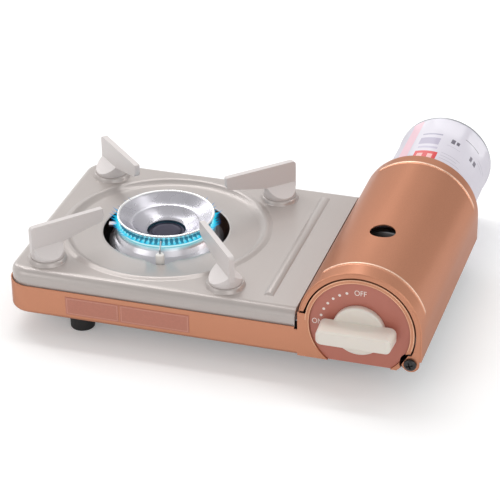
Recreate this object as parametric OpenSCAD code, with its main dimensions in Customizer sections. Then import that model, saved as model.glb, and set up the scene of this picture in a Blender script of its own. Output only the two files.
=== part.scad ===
// Cassette stove: one burner, four pan supports, a gas can lying under a hinged cover.
// Working axes: x runs from the left wall to the cover, y from the front sheet to the rear,
// z from the floor up. in_place() then centres the stove over the origin.

/* [Overall] */
// Width from the case's left wall to the cover's left wall
body_w = 203.4; // [190:0.2:225]
// Depth of the case from its front sheet to its rear sheet
case_d = 167; // [155:1:185]

/* [Case] */
// Height of the case's lower edge above the floor
case_z0 = 16; // [14:0.5:18]
// Height of the seam between case and top plate
seam_z = 37; // [35:0.5:40]
// Corner radius of the case seen from above
corner_r = 16; // [12:1:20]
// Radius of the case's rounded lower edge
case_edge_r = 3; // [2:0.5:4]
// Sheet thickness of case and base pan
case_t = 0.8; // [0.6:0.1:1]
// Width of the case's inward flange
flange_w = 10.5; // [9.5:0.5:12]

/* [Top plate] */
// Height of the plate's flat top
plate_z = 48; // [46:0.5:52]
// Sheet thickness of the plate
plate_t = 0.9; // [0.7:0.1:1]
// Radius of the plate's rounded upper edge
plate_edge_r = 6; // [4:0.5:7]
// Distance of the raised ring's middle from the front and the rear of the case
ring_margin = 14.2; // [13:0.1:16]
// Height of the raised ring above the plate
ring_h = 1.4; // [0.8:0.1:2]
// Depth of the dish below the plate
dish_drop = 1.6; // [1:0.1:2.4]
// Width of the open gap between the bowl's rim and the plate
opening_gap = 10; // [9:0.1:11]
// Height of a support boss
boss_h = 3; // [2.6:0.1:3.4]
// Width of the straight stiffening rib
rib_w = 6.5; // [5:0.5:8]
// Height of the straight stiffening rib
rib_h = 1.6; // [0.8:0.1:2]

/* [Burner] */
// Radius of the bowl's rim
bowl_r = 33.3; // [30:0.1:36]
// Height of the bowl's rim above the plate
bowl_up = 11.5; // [10:0.1:13]
// Radius of the bowl's centre hole
bowl_hole_r = 13.3; // [12:0.1:14.5]
// Number of slots in the flame ring
slot_n = 56; // [40:1:60]
// Width of one flame slot
slot_w = 1.4; // [1:0.1:1.6]
// Outer radius of the mixing tube
tube_r = 7.5; // [6.5:0.1:8.2]

/* [Pan supports] */
// Distance of the left supports' discs from the case's left wall
support_left = 23.8; // [22:0.1:28]
// Distance of the supports' discs from the front and the rear of the case
support_margin = 21.1; // [20:0.1:24]
// Height of the supports' top edges above the plate
support_up = 26.6; // [25:0.2:30]
// Thickness of a support's blade
blade_t = 3.8; // [3.4:0.1:4.4]
// Radius of a support's disc
disc_r = 11.1; // [10:0.1:12]
// Distance from the disc's centre to the blade's tip
blade_in = 42.2; // [38:0.2:46]
// Depth of the blade at its tip
tip_d = 10; // [8:0.5:12]

/* [Gas can] */
// Radius of the can's body
can_r = 33.3; // [31:0.1:35]
// How far the can's seams stand out from its body
seam_out = 0.6; // [0.4:0.1:0.7]
// Length of the can with its collar
can_len = 184; // [150:1:200]
// Depth of the valve space from the case's front to the can's collar
valve_d = 60; // [57:1:66]
// Height of the can's trough above the floor
trough_z0 = 6.4; // [5.6:0.1:8]

/* [Cover] */
// Room between the can's seam and the inside of the cover
can_room = 6.3; // [5.6:0.1:7.5]
// Sheet thickness of the cover
cover_t = 0.8; // [0.6:0.1:1]
// How far the cover reaches past the case's rear
cover_over = 1.5; // [1.2:0.1:2.5]
// Height of the cover's raised ribs
cover_rib_h = 0.8; // [0.5:0.1:1]
// Radius of the round hole in the cover
cover_hole_r = 8.5; // [6:0.5:10]
// Distance of the hinge from the cover's right wall
hinge_in = 7.1; // [7:0.1:7.6]
// Distance of the hinge below the can's axis
hinge_drop = 20; // [19:0.1:21]
// Radius of the hinge screws' shanks
hinge_r = 2; // [1.8:0.1:2.2]

/* [Dial and knob] */
// Depth of the dial's recess
recess_d = 1.8; // [1.6:0.1:2]
// Radius of the knob's disc
knob_r = 17.3; // [15:0.1:19]
// How far the knob stands out in front of the case
knob_out = 17; // [15:0.5:20]
// Length of the knob's grip bar
grip_len = 50; // [44:1:56]
// Height of the grip bar at its front
grip_h = 9.6; // [8:0.2:11]
// Radius of the valve spindle
spindle_r = 3; // [2.6:0.1:3.3]

/* [Feet] */
// Radius of a foot
foot_r = 8.7; // [8:0.1:10]
// Distance of the left feet from the case's left wall
foot_in = 46.9; // [40:0.1:52]
// Distance of the left feet from the front and the rear
foot_y = 20.5; // [20:0.5:24]

/* [Hidden] */
$fn = 96;

// Colours
copper = "#c1805f";
greige = "#beb6b0";
pale_greige = "#d6d0ce";
rose = "#b2685a";
cream = "#ece6de";
black = "#1c1b1c";
polished = "#d9dbe0";
steel = "#8f9296";
zinc = "#a9abad";
brass = "#c9a64e";
white = "#efedf2";

// Clearances
eps = 0.05;                  // overlap of cutting tools
fit = 0.06;                  // running fit of a shaft in its hole, on the radius
near = 0.3;                  // gap between pieces that move past each other
hole_gap = 0.1;              // gap round a fixed screw, on the radius
press_gap = 0.03;            // gap between pieces pressed or welded together
seam_gap = 0.5;              // gap between the case's wall and the plate inside it

// Can, cover and main axes
seam_r = can_r + seam_out;
trough_r = seam_r + near + case_t;      // inner radius; the heat panel lies in it
cover_r = seam_r + can_room + cover_t;
axis_x = body_w + cover_r;
axis_z = trough_z0 + case_t + trough_r;
overall_w = axis_x + cover_r;
burner_y = case_d / 2;
support_a = burner_y - support_margin;
boss_r = disc_r + 1.1;
boss_slope = 1.2;
burner_x = support_left + support_a;
can_y0 = valve_d;
can_y1 = can_y0 + can_len;
can_t = 0.8;
dome_y = can_y0 + 15.5;
mid_y = (can_y1 - knob_out) / 2;

// Case, plate and partition
plate_inset = case_t + seam_gap;
plate_x1 = body_w - 2.2;
plate_skirt_z = seam_z - 2.5;
shoulder_z = plate_z + 0.2;
relief_z = seam_z - 1.6;
case_floor = case_z0 + case_t;
pan_inset = case_edge_r + near;
pan_z1 = case_floor + case_t;
wall_x = plate_x1 - plate_t - 2;
wall_foot = 8;
trough_y0 = 18;
panel_rim_d = 8;
tab_y0 = recess_d + case_t;
trough_slot_y = [burner_y - 19.5, burner_y - 3.5, burner_y + 12.5];
trough_slot_w = 6;
trough_slot_half = 14;
vent_pitch = 12;
vent_w = 4;
vent_len = 24;
vent_off = 34;
label_x = [43.6, 81.4, 129.9];
label_gap = 0.8;
label_z0 = case_z0 + 4.2;
label_z1 = seam_z - 3.6;
label_t = 0.4;
film_t = 0.25;

// Burner
bowl_z = plate_z + bowl_up;
opening_r = bowl_r + opening_gap;
flame_r = bowl_r - 1.9;
skirt_r = opening_r - 4.1;
waist_r = bowl_r - 10.1;
seat_z = plate_z + boss_h;
ring_top = bowl_z - 3.3;
ring_bottom = ring_top - 5.6;
ring_in_r = flame_r - 1.4;
tube_z = seam_z - 5;
tube_wall = 1;
hub_r = 14;
hub_wall = 1.5;
hub_z0 = tube_z - tube_r - 0.5;
hub_z1 = min(tube_z + tube_r - 1.5, bowl_z - 18.5);
core_r = bowl_hole_r + 1.5;
core_z = bowl_z - 13.9;
core_foot_r = 5;
core_stem_r = 3;
lug_a = 194;
lug_out = flame_r + 7.8;
lug_w = 4.4;
lug_t = 1.6;
burner_screw_at = 8;
bracket_half = 22;
bracket_w = 14;

// Dish and straight rib
ring_in = 3.8;                // the ring's foot lies this far inside and outside its middle
ring_out = 3.7;
ring_clear = 0.6;            // least gap between the ring's foot and a boss
ring_r = min(burner_y - ring_margin,
    norm([support_a, support_a]) - boss_r - boss_slope - ring_out - ring_clear);
dish_in_r = ring_r - ring_in;
dish_out_r = ring_r + ring_out;
dish_z = plate_z - dish_drop;
notch_a = -76.7;
notch_in = 5.6;
notch_w0 = 10;
notch_w1 = 4.4;
rib_x = (burner_x + dish_out_r + plate_x1) / 2 - 0.5;
rib_y0 = 17;
rib_y1 = case_d - 15;

// Pan supports
support_z = plate_z + support_up;
blade_out = disc_r + 0.7;
support_lip = 1.5;

// Cover and hinge
mouth_gap = 1;               // between the dial panel's arch and the cover
panel_r = cover_r - 3.8 - mouth_gap;
recess_r = panel_r - 2.8;
cover_d = case_d + cover_over;
cover_z0 = axis_z - 17.8;
cover_left_z = tube_z + tube_r + 1.5;
cover_front_z = shoulder_z + 1.4;
plate_right_z = cover_left_z + 0.1;
ledge_x1 = body_w + cover_t + 1;
hinge_x = overall_w - hinge_in;
hinge_z = axis_z - hinge_drop;
hinge_len = 5;
ear_r = hinge_in - 1.2;
rear_ear_r = ear_r - 1;      // clears the can while the cover turns
ear_gap = 1.4;
tab_r = ear_r - 0.5;
pan_x1 = hinge_x + hinge_r + 0.1;
pan_wall_z1 = hinge_z + 3.4;
rib_half = 2;                // half the width of a raised rib on the cover
cover_rib_y = [13.5, cover_d - 10.7];
rib_a0 = acos(cover_r / (cover_r + cover_rib_h)) + 1;
rib_a1 = 135;
cover_hole_y = valve_d - 1.8;
head_r = 4.2;
head_h = 2.6;

// Governor and magnet
gov_y0 = 12.5;
gov_y = valve_d - 27;
gov_r = 12;
cap_r = min(gov_y - 13, 20);
cap_z = axis_z + 12.8;
cap_edge = 5;
cap_rim_w = 4;               // width and thickness of the cap's flat rim
cap_rim_t = 1.2;
cap_slope_w = 2;
cap_slope_z = 4.4;
cap_dome_z = 5.2;
cap_top_r = 6;
cap_top_z = 7;
gov_y1 = gov_y + cap_r + near;
gov_dx = axis_x - burner_x;
gov_dy = burner_y - gov_y;
tube_a = atan2(gov_dy, -gov_dx);
tube_span = sqrt(gov_dx * gov_dx + gov_dy * gov_dy);
bell_x = gov_r + 12;
bell_len = 10;
bell_out = 2.4;
outlet_r = 6;
nozzle_r = 3.4;
nozzle_body = 5;             // lengths of the nozzle's body, neck and whole
nozzle_neck = 9;
nozzle_len = 10;
nozzle_step = 1.2;
jet_r = 0.5;
post_a = [225, 315];
post_at = 12;
post_r = 3.5;
magnet_r = 19;
magnet_w = 6;
holder_r = 21;
collar_r = 20.3;
pin_r = 20.6;
pin_w = 3.2;
cup_r = 13.6;
stem_r = 2;
snout_r = 4;

// Electrode
electrode_at = opening_r - 0.5;
electrode_x = burner_x + electrode_at * cos(notch_a);
electrode_y = burner_y + electrode_at * sin(notch_a);
ceramic_r = 3;
ceramic_z1 = plate_z + 3.7;
ceramic_z0 = plate_z - 19;
ceramic_tip = 0.8;
wire_r = 0.6;
wire_up = 2.2;
wire_len = 8.6;
shelf_z = plate_z - 16.2;
shelf_w = 14;
shelf_x0 = -5.5;
shelf_x1 = 9.5;

// Knob
knob_back = recess_d - 0.9;
disc_y = -3;
disc_edge = 1.2;
knob_skin = 1.8;
grip_root_h = grip_h + 3;

// Igniter
cam_y = 9.2;
cam_t = 4.4;
cam_reach = 13.5;
cam_half = 2.5;
plunger_up = 11;
plunger_r = 2.5;
piezo_r = 6;
piezo_x0 = axis_x - panel_r + 7.2;
piezo_x1 = axis_x - 11;

// Screws: shank radius, head radius, head height
screw_r = 1.5;
screw_head_r = 3;
screw_head_h = 1.6;
support_screw_r = 1.7;

screw_x = [60, 150];
screw_in = 7.6;
case_screw_at = [
    [screw_x[0], screw_in], [screw_x[1], screw_in], [screw_in, burner_y],
    [screw_x[0], case_d - screw_in], [screw_x[1], case_d - screw_in]
];
plate_screw_z = seam_z - 8;
plate_tab_w = 12;
trough_foot_y = [trough_y0 + 22, case_d - foot_y];
foot_sink = 5;
trough_sink = trough_z0 - 3.4;

// How far each support is turned off the line to the burner centre, in degrees
support_turn = [3, -6, 1, 0];

// Heat panel
heat_w = 22;
heat_at = 30.5;              // its middle lies this far behind the burner's
heat_reach = 40;
heat_y0 = burner_y + heat_at - heat_w / 2;
heat_y1 = heat_y0 + heat_w;
heat_x0 = burner_x + heat_reach;
heat_t = 0.7;
heat_h = 19;

// Route of the igniter's lead inside the case
lead_r = 1.3;
lead_y = 28.6;
lead_z = pan_z1 + 4.4;
lead_hole_z = tube_z - 2.2;
lead_route = [
    [piezo_x0, cam_y, axis_z + plunger_up],
    [piezo_x0 - 2.5, cam_y, axis_z + plunger_up],
    [piezo_x0 - 4, 13, axis_z + plunger_up - 5],
    [piezo_x0 - 4.4, 18, axis_z + 1],
    [wall_x + 9, 24, tube_z + 2],
    [wall_x + 5, lead_y - 0.6, lead_hole_z + 0.4],
    [wall_x - 5, lead_y + 0.6, lead_hole_z - 0.4],
    [wall_x - 25, lead_y + 0.4, tube_z - 5],
    [burner_x + 62, electrode_y - 14.8, tube_z - 8],
    [burner_x + 39, electrode_y - 11.8, lead_z],
    [burner_x + 22, electrode_y - 5.8, lead_z],
    [electrode_x + 3.4, electrode_y - 1.4, ceramic_z0 - 5.5],
    [electrode_x, electrode_y, ceramic_z0 - 2.5],
    [electrode_x, electrode_y, ceramic_z0]
];

// ---------- shared shapes ----------

module in_place() {
    translate([-overall_w / 2, -mid_y, 0]) children();
}

// Sheet standing across y: the flat shape's x and y become x and z
module sheet_y(y0, y1) {
    translate([0, y1, 0]) rotate([90, 0, 0]) linear_extrude(y1 - y0) children();
}

module rod_y(x, z, r, y0, y1) {
    translate([x, y0, z]) rotate([-90, 0, 0]) cylinder(r = r, h = y1 - y0);
}

module rod_z(x, y, r, z0, z1) {
    translate([x, y, z0]) cylinder(r = r, h = z1 - z0);
}

module rod_x(y, z, r, x0, x1) {
    translate([x0, y, z]) rotate([0, 90, 0]) cylinder(r = r, h = x1 - x0);
}

// Turned piece on the can's axis: flat shape in (radius, y)
module turned_y(x = axis_x, z = axis_z) {
    translate([x, 0, z]) rotate([-90, 0, 0]) rotate_extrude() children();
}

// Turned piece on the burner's axis: flat shape in (radius, z)
module turned_burner() {
    translate([burner_x, burner_y, 0]) rotate_extrude() children();
}

module box(x0, x1, y0, y1, z0, z1) {
    translate([x0, y0, z0]) cube([x1 - x0, y1 - y0, z1 - z0]);
}

// Frame along the mixing tube: x runs from the governor towards the burner
module along_tube() {
    translate([axis_x, gov_y, tube_z]) rotate([0, 0, tube_a]) children();
}

function arc(cx, cy, r, a0, a1, n = 6) =
    [for (i = [0:n]) let (a = a0 + (a1 - a0) * i / n) [cx + r * cos(a), cy + r * sin(a)]];

// Case outline seen from above, with rounded left corners
module outline(inset, x1) {
    r = corner_r - inset;
    translate([corner_r, inset]) square([x1 - corner_r, case_d - 2 * inset]);
    translate([inset, corner_r]) square([corner_r + eps - inset, case_d - 2 * corner_r]);
    for (y = [corner_r, case_d - corner_r]) translate([corner_r, y]) circle(r);
}

// Half section of a tray's edge: flat at z_flat, rounded by r, open at z_open
module edge_section(reach, z_flat, z_open, r) {
    up = z_open > z_flat ? 1 : -1;
    z_mid = z_flat + up * r;
    translate([0, min(z_mid, z_open)]) square([reach, abs(z_open - z_mid)]);
    translate([0, min(z_flat, z_mid)]) square([reach - r, r]);
    intersection() {
        translate([reach - r, z_mid]) circle(r);
        translate([reach - r, min(z_flat, z_mid)]) square(r);
    }
}

// Solid tray with a rounded edge on its left, front and rear
module tray_block(inset, x1, z_flat, z_open, r) {
    z0 = min(z_flat, z_open);
    h = abs(z_open - z_flat);
    reach = corner_r - inset;
    translate([corner_r, corner_r, 0]) rotate([0, 0, 180])
        rotate_extrude(angle = 90) edge_section(reach, z_flat, z_open, r);
    translate([corner_r, case_d - corner_r, 0]) rotate([0, 0, 90])
        rotate_extrude(angle = 90) edge_section(reach, z_flat, z_open, r);
    translate([corner_r, corner_r, 0]) rotate([90, 0, -90]) mirror([0, 0, 1])
        linear_extrude(x1 - corner_r) edge_section(reach, z_flat, z_open, r);
    translate([corner_r, case_d - corner_r, 0]) rotate([90, 0, 90])
        linear_extrude(x1 - corner_r) edge_section(reach, z_flat, z_open, r);
    translate([corner_r, case_d - corner_r, 0]) mirror([1, 0, 0]) rotate([90, 0, 0])
        linear_extrude(case_d - 2 * corner_r) edge_section(reach, z_flat, z_open, r);
    translate([corner_r, corner_r, z0]) cube([x1 - corner_r, case_d - 2 * corner_r, h]);
}

// ---------- case ----------

module panel_shape(r) {
    difference() {
        intersection() {
            translate([axis_x, axis_z]) circle(r);
            translate([axis_x - 2 * r, case_z0]) square([4 * r, 4 * r]);
        }
        translate([hinge_x, hinge_z]) circle(ear_r + ear_gap);
    }
}

// Upright tab of the base pan that holds a hinge screw: y0 is its front face, y_pan lies in the pan
module hinge_tab(y0, y_pan) {
    sheet_y(y0, y0 + case_t) difference() {
        union() {
            translate([hinge_x, hinge_z]) circle(tab_r);
            translate([hinge_x - tab_r, case_floor]) square([tab_r + pan_x1 - hinge_x, hinge_z - case_floor]);
        }
        translate([axis_x, axis_z]) circle(trough_r + case_t / 2);
    }
    box(hinge_x - tab_r, pan_x1, min(y0, y_pan), max(y0 + case_t, y_pan), case_floor, pan_z1);
}

module case_front() {
    difference() {
        union() {
            sheet_y(0, case_t) {
                panel_shape(panel_r);
                translate([body_w, case_z0]) square([axis_x - body_w, shoulder_z - case_z0]);
            }
            sheet_y(0, panel_rim_d) difference() {
                panel_shape(panel_r);
                translate([axis_x, axis_z]) circle(panel_r - case_t);
                translate([0, 0]) square([axis_x, seam_z - case_t]);
                translate([0, 0]) square([overall_w, pan_z1 + near]);
            }
        }
        rod_y(axis_x, axis_z, recess_r, -eps, case_t + eps);
    }
    sheet_y(0, recess_d + case_t) difference() {
        panel_shape(recess_r + case_t);
        translate([axis_x, axis_z]) circle(recess_r);
    }
    sheet_y(recess_d, recess_d + case_t) panel_shape(recess_r + case_t / 2);
    box(body_w, axis_x + panel_r / 2, recess_d, flange_w, case_z0, case_floor);
}

// Rear sheet between the left part of the case and the can's trough
module case_rear() {
    sheet_y(case_d - case_t, case_d) difference() {
        translate([body_w - 4, case_z0]) square([axis_x - body_w, seam_z - case_z0]);
        translate([axis_x, axis_z]) circle(trough_r + case_t + near);
    }
}

module case_body() {
    difference() {
        tray_block(0, body_w + eps, case_z0, seam_z, case_edge_r);
        tray_block(case_t, overall_w, case_floor, plate_z, case_edge_r - case_t);
        translate([0, 0, case_z0 - 1]) linear_extrude(3) outline(flange_w, overall_w);
        box(plate_x1, body_w, -1, case_t + 1, relief_z, seam_z + 1);
        for (p = case_screw_at) rod_z(p[0], p[1], screw_r + hole_gap, case_z0 - 1, case_floor + 1);
        for (x = screw_x)
            rod_y(x, plate_screw_z, screw_r + hole_gap, case_d - 2, case_d + 1);
    }
}

module case() {
    color(copper) in_place() difference() {
        union() {
            case_body();
            case_front();
            case_rear();
        }
        rod_y(axis_x, axis_z, spindle_r + 1.5, -1, recess_d + 2);
        for (a = post_a)
            rod_y(axis_x + post_at * cos(a), axis_z + post_at * sin(a),
                screw_r + hole_gap, -1, recess_d + 2);
    }
}

module base_pan() {
    color(steel) in_place() difference() {
        union() {
            difference() {
                translate([0, 0, case_floor]) linear_extrude(case_t) outline(pan_inset, pan_x1);
                rod_y(axis_x, axis_z, trough_r, trough_y0, case_d);
            }
            intersection() {
                sheet_y(trough_y0 - case_t, case_d - pan_inset) difference() {
                    translate([axis_x, axis_z]) circle(trough_r + case_t);
                    translate([axis_x, axis_z]) circle(trough_r);
                }
                box(0, overall_w, 0, case_d, 0, case_floor + case_t / 2);
            }
            intersection() {
                rod_y(axis_x, axis_z, trough_r + case_t / 2, trough_y0 - case_t, trough_y0);
                box(0, overall_w, 0, case_d, 0, case_floor + case_t / 2);
            }
            box(pan_x1 - case_t, pan_x1, pan_inset, case_d - pan_inset, case_floor, pan_wall_z1);
            hinge_tab(tab_y0, pan_inset + 1);
            hinge_tab(case_d - case_t, case_d - pan_inset - 1);
        }
        rod_y(hinge_x, hinge_z, hinge_r + hole_gap, -1, hinge_len + 0.2);
        rod_y(hinge_x, hinge_z, hinge_r + hole_gap, cover_d - hinge_len, case_d + 1);
        for (p = case_screw_at) rod_z(p[0], p[1], screw_r + hole_gap, case_z0, pan_z1 + 1);
        for (y = [foot_y, case_d - foot_y])
            rod_z(foot_in, y, screw_r + hole_gap, case_z0, pan_z1 + 1);
        for (y = trough_foot_y) rod_z(axis_x, y, screw_r + hole_gap, 0, case_z0);
        vent_slots();
        for (y = trough_slot_y)
            box(axis_x - trough_slot_half, axis_x + trough_slot_half,
                y - trough_slot_w / 2, y + trough_slot_w / 2, 0, case_z0 - 4);
    }
}

// Two rows of air slots under the burner
module vent_slots() {
    for (side = [-1, 1], i = [-3:3])
        translate([burner_x + vent_pitch * i, burner_y + side * vent_off, case_z0])
            linear_extrude(pan_z1 + 1 - case_z0) square([vent_w, vent_len], center = true);
}

// ---------- top plate ----------

// Section of the dish and its raised ring, in (radius, z) along the upper face
function dish_line(d) = concat(
    [[opening_r, dish_z + 0.3 - d], [opening_r + 2, dish_z + 0.1 - d]],
    [[dish_in_r - 2.5, dish_z - 0.3 - d], [dish_in_r, dish_z + 0.1 - d]],
    [[ring_r - 1.9, plate_z + ring_h - 0.8 - d], [ring_r - 0.8, plate_z + ring_h - 0.1 - d]],
    [[ring_r + 0.3, plate_z + ring_h - d], [ring_r + 1.4, plate_z + ring_h - 0.3 - d]],
    [[ring_r + 2.6, plate_z + 0.35 - d], [dish_out_r, plate_z - d]]
);

module dish() {
    up = dish_line(0);
    down = dish_line(plate_t);
    n = len(down);
    turned_burner() polygon(concat(up, [for (i = [n - 1:-1:0]) down[i]]));
}

module boss(x, y) {
    low = plate_z - plate_t;
    difference() {
        translate([x, y, low]) rotate_extrude() polygon([
            [0, 0], [boss_r + boss_slope, 0], [boss_r + boss_slope, plate_t],
            [boss_r + 0.3, plate_t + boss_h - 0.5], [boss_r - 0.3, plate_t + boss_h],
            [0, plate_t + boss_h]
        ]);
        translate([x, y, low - eps]) rotate_extrude() polygon([
            [0, 0], [boss_r + boss_slope - plate_t, 0], [boss_r - plate_t, boss_h + eps],
            [0, boss_h + eps]
        ]);
    }
}

module plate_rib() {
    r = (rib_w * rib_w / 4 + rib_h * rib_h) / (2 * rib_h);
    zc = plate_z + rib_h - r;
    difference() {
        intersection() {
            rod_y(rib_x, zc, r, rib_y0 - rib_h, rib_y1 + rib_h);
            translate([rib_x - rib_w, 0, 0]) rotate([90, 0, 90]) linear_extrude(2 * rib_w) polygon([
                [rib_y0 - rib_h - plate_t, plate_z - plate_t], [rib_y0, plate_z + rib_h],
                [rib_y1, plate_z + rib_h], [rib_y1 + rib_h + plate_t, plate_z - plate_t]
            ]);
        }
        rod_y(rib_x, zc, r - plate_t, rib_y0 + plate_t, rib_y1 - plate_t);
    }
}

module electrode_notch() {
    translate([burner_x, burner_y, plate_z - 5]) rotate([0, 0, notch_a]) linear_extrude(8)
        polygon([
            [opening_r - 2, -notch_w0 - 1], [opening_r + 0.1, -notch_w0],
            [opening_r + notch_in * 0.35, -notch_w1 - 2.2], [opening_r + notch_in * 0.8, -notch_w1],
            [opening_r + notch_in, -notch_w1 + 1.5], [opening_r + notch_in, notch_w1 - 1.5],
            [opening_r + notch_in * 0.8, notch_w1], [opening_r + notch_in * 0.35, notch_w1 + 2.2],
            [opening_r + 0.1, notch_w0], [opening_r - 2, notch_w0 + 1]
        ]);
}

// Tongues of the plate inside the case: screwed at the rear, tucked behind the band in front
module plate_tabs() {
    for (x = screw_x, y = [plate_inset, case_d - plate_inset - plate_t])
        box(x - plate_tab_w / 2, x + plate_tab_w / 2, y, y + plate_t,
            plate_screw_z - plate_tab_w / 2, plate_skirt_z + 1);
}

module plate_shell() {
    difference() {
        tray_block(plate_inset, plate_x1, plate_z, plate_skirt_z, plate_edge_r);
        tray_block(plate_inset + plate_t, plate_x1 - plate_t,
            plate_z - plate_t, plate_skirt_z - 1, plate_edge_r - plate_t);
        box(plate_x1 - plate_t - eps, plate_x1 + 1, plate_inset + plate_t, case_d - plate_inset - plate_t,
            0, plate_right_z);
        rod_z(burner_x, burner_y, dish_out_r, plate_z - plate_t - eps, plate_z + 1);
    }
}

module top_plate() {
    color(greige) in_place() difference() {
        union() {
            plate_shell();
            plate_tabs();
            dish();
            for (p = support_places()) boss(p[0], p[1]);
            plate_rib();
        }
        electrode_notch();
        for (p = support_places())
            rod_z(p[0], p[1], support_screw_r + hole_gap, plate_z - 5, seat_z + 1);
        for (x = screw_x)
            rod_y(x, plate_screw_z, screw_r + hole_gap, case_d - 4, case_d);
    }
}

// Wall between burner and can; its ledge carries the closed cover
module partition() {
    wall_z1 = plate_z - plate_t;
    step_z = plate_z - plate_edge_r - 0.6;
    step_y = plate_inset + plate_edge_r + 0.5;
    color(zinc) in_place() difference() {
        union() {
            box(wall_x - case_t, wall_x, pan_inset, case_d - pan_inset, pan_z1, step_z);
            box(wall_x - case_t, wall_x, step_y, case_d - step_y, step_z - eps, wall_z1);
            box(wall_x - wall_foot, wall_x, step_y, case_d - step_y, wall_z1 - case_t, wall_z1);
            box(wall_x - wall_foot, wall_x, pan_inset, case_d - pan_inset, pan_z1, pan_z1 + case_t);
            box(wall_x - eps, ledge_x1, pan_inset, case_d - pan_inset,
                cover_left_z - near - case_t, cover_left_z - near);
        }
        along_tube() rotate([0, 90, 0]) cylinder(r = tube_r + near, h = tube_span);
        box(wall_x - wall_foot - 1, wall_x + 1, heat_y0 - 4.5, heat_y1 + 1.5, pan_z1 - 1, pan_z1 + 3);
        rod_x(lead_y, lead_hole_z, lead_r + 1, wall_x - wall_foot - 1, wall_x + 1);
    }
}

// ---------- labels, knob and valve ----------

// Two bare rose panels on the front band
module label_strip() {
    color(rose) in_place() {
        box(label_x[0], label_x[1] - label_gap / 2, -film_t, 0, label_z0, label_z1);
        box(label_x[1] + label_gap / 2, label_x[2], -film_t, 0, label_z0, label_z1);
    }
}

module dial_plate() {
    color(rose) in_place() difference() {
        sheet_y(recess_d - label_t, recess_d) panel_shape(recess_r - 0.2);
        rod_y(axis_x, axis_z, spindle_r + 1.5, -1, recess_d + 1);
        for (a = post_a)
            rod_y(axis_x + post_at * cos(a), axis_z + post_at * sin(a),
                screw_r + hole_gap, -1, recess_d + 1);
    }
}

// Rounded slab of the grip bar, standing across y
module grip_slab(y, length, height, r) {
    for (sx = [-1, 1], sz = [-1, 1])
        translate([axis_x + sx * (length / 2 - r), y, axis_z + sz * (height / 2 - r)])
            rotate([90, 0, 0]) cylinder(r = r, h = 0.4, center = true, $fn = 32);
}

module knob() {
    color(cream) in_place() difference() {
        union() {
            turned_y() polygon(concat(
                [[0, knob_back], [knob_r, knob_back]],
                arc(knob_r - disc_edge, disc_y + disc_edge, disc_edge, 0, -90, 5),
                [[0, disc_y]]
            ));
            hull() {
                grip_slab(disc_y + 0.4, grip_len, grip_root_h, 4);
                grip_slab(-knob_out + 1.6, grip_len - 1, grip_h + 1, 3.6);
                grip_slab(-knob_out + 0.2, grip_len - 5, grip_h - 1, 2.6);
            }
        }
        difference() {
            rod_y(axis_x, axis_z, knob_r - knob_skin, disc_y + knob_skin, knob_back + 1);
            rod_y(axis_x, axis_z, spindle_r + 2.5, disc_y, knob_back + 2);
        }
        rod_y(axis_x, axis_z, spindle_r + press_gap, -knob_out + 4, knob_back + 1);
    }
}

module valve_spindle() {
    color(zinc) in_place() union() {
        rod_y(axis_x, axis_z, spindle_r, -knob_out + 4.4, gov_y0 + 8);
        rod_y(axis_x, axis_z, spindle_r + 1, cam_y - cam_t / 2 - 1.8, cam_y - cam_t / 2);
    }
}

module igniter_cam() {
    y0 = cam_y - cam_t / 2;
    y1 = cam_y + cam_t / 2;
    color(white) in_place() difference() {
        union() {
            rod_y(axis_x, axis_z, spindle_r + 3, y0, y1);
            box(axis_x - cam_half, axis_x + cam_half, y0, y1, axis_z, axis_z + cam_reach - cam_half);
            rod_y(axis_x, axis_z + cam_reach - cam_half, cam_half, y0, y1);
        }
        rod_y(axis_x, axis_z, spindle_r + press_gap, y0 - 1, y1 + 1);
    }
}

module igniter_body() {
    z = axis_z + plunger_up;
    color(black) in_place() difference() {
        union() {
            rod_x(cam_y, z, piezo_r, piezo_x0, piezo_x1);
            box(piezo_x0 + 3, piezo_x1 - 3, recess_d + case_t, cam_y, z - 4.5, z + 4.5);
        }
        rod_x(cam_y, z, plunger_r + fit, piezo_x0 + 4, piezo_x1 + 1);
    }
}

module igniter_plunger() {
    z = axis_z + plunger_up;
    color(brass) in_place()
        rod_x(cam_y, z, plunger_r, piezo_x0 + 5, axis_x - cam_half - near);
}

// Tube swept along a list of points, closed at both ends
module swept_tube(route, r, sides) {
    n = len(route);
    ring = [for (i = [0:n - 1]) let (
        a = route[max(i - 1, 0)],
        b = route[min(i + 1, n - 1)],
        t = (b - a) / norm(b - a),
        u0 = abs(t[2]) > 0.9 ? [1, 0, 0] : [0, 0, 1],
        u = cross(t, u0) / norm(cross(t, u0)),
        v = cross(t, u)
    ) for (k = [0:sides - 1]) route[i] + r * cos(360 * k / sides) * u + r * sin(360 * k / sides) * v];
    walls = [for (i = [0:n - 2], k = [0:sides - 1]) let (m = (k + 1) % sides)
        [i * sides + k, i * sides + m, (i + 1) * sides + m, (i + 1) * sides + k]];
    polyhedron(ring, concat(
        [[for (k = [sides - 1:-1:0]) k]],
        [[for (k = [0:sides - 1]) (n - 1) * sides + k]],
        walls
    ), convexity = 8);
}

module igniter_lead() {
    color(black) in_place() swept_tube(lead_route, lead_r, 8);
}

// ---------- electrode ----------

module at_electrode() {
    translate([burner_x, burner_y, 0]) rotate([0, 0, notch_a]) translate([electrode_at, 0, 0])
        children();
}

module electrode_insulator() {
    color(white) in_place() at_electrode() {
        translate([0, 0, ceramic_z0])
            cylinder(r = ceramic_r, h = ceramic_z1 - ceramic_z0 - ceramic_tip);
        translate([0, 0, ceramic_z1 - ceramic_tip])
            cylinder(r1 = ceramic_r, r2 = ceramic_r - ceramic_tip, h = ceramic_tip);
        translate([0, 0, shelf_z + case_t]) cylinder(r = ceramic_r + 1.2, h = 2.4);
    }
}

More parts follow.
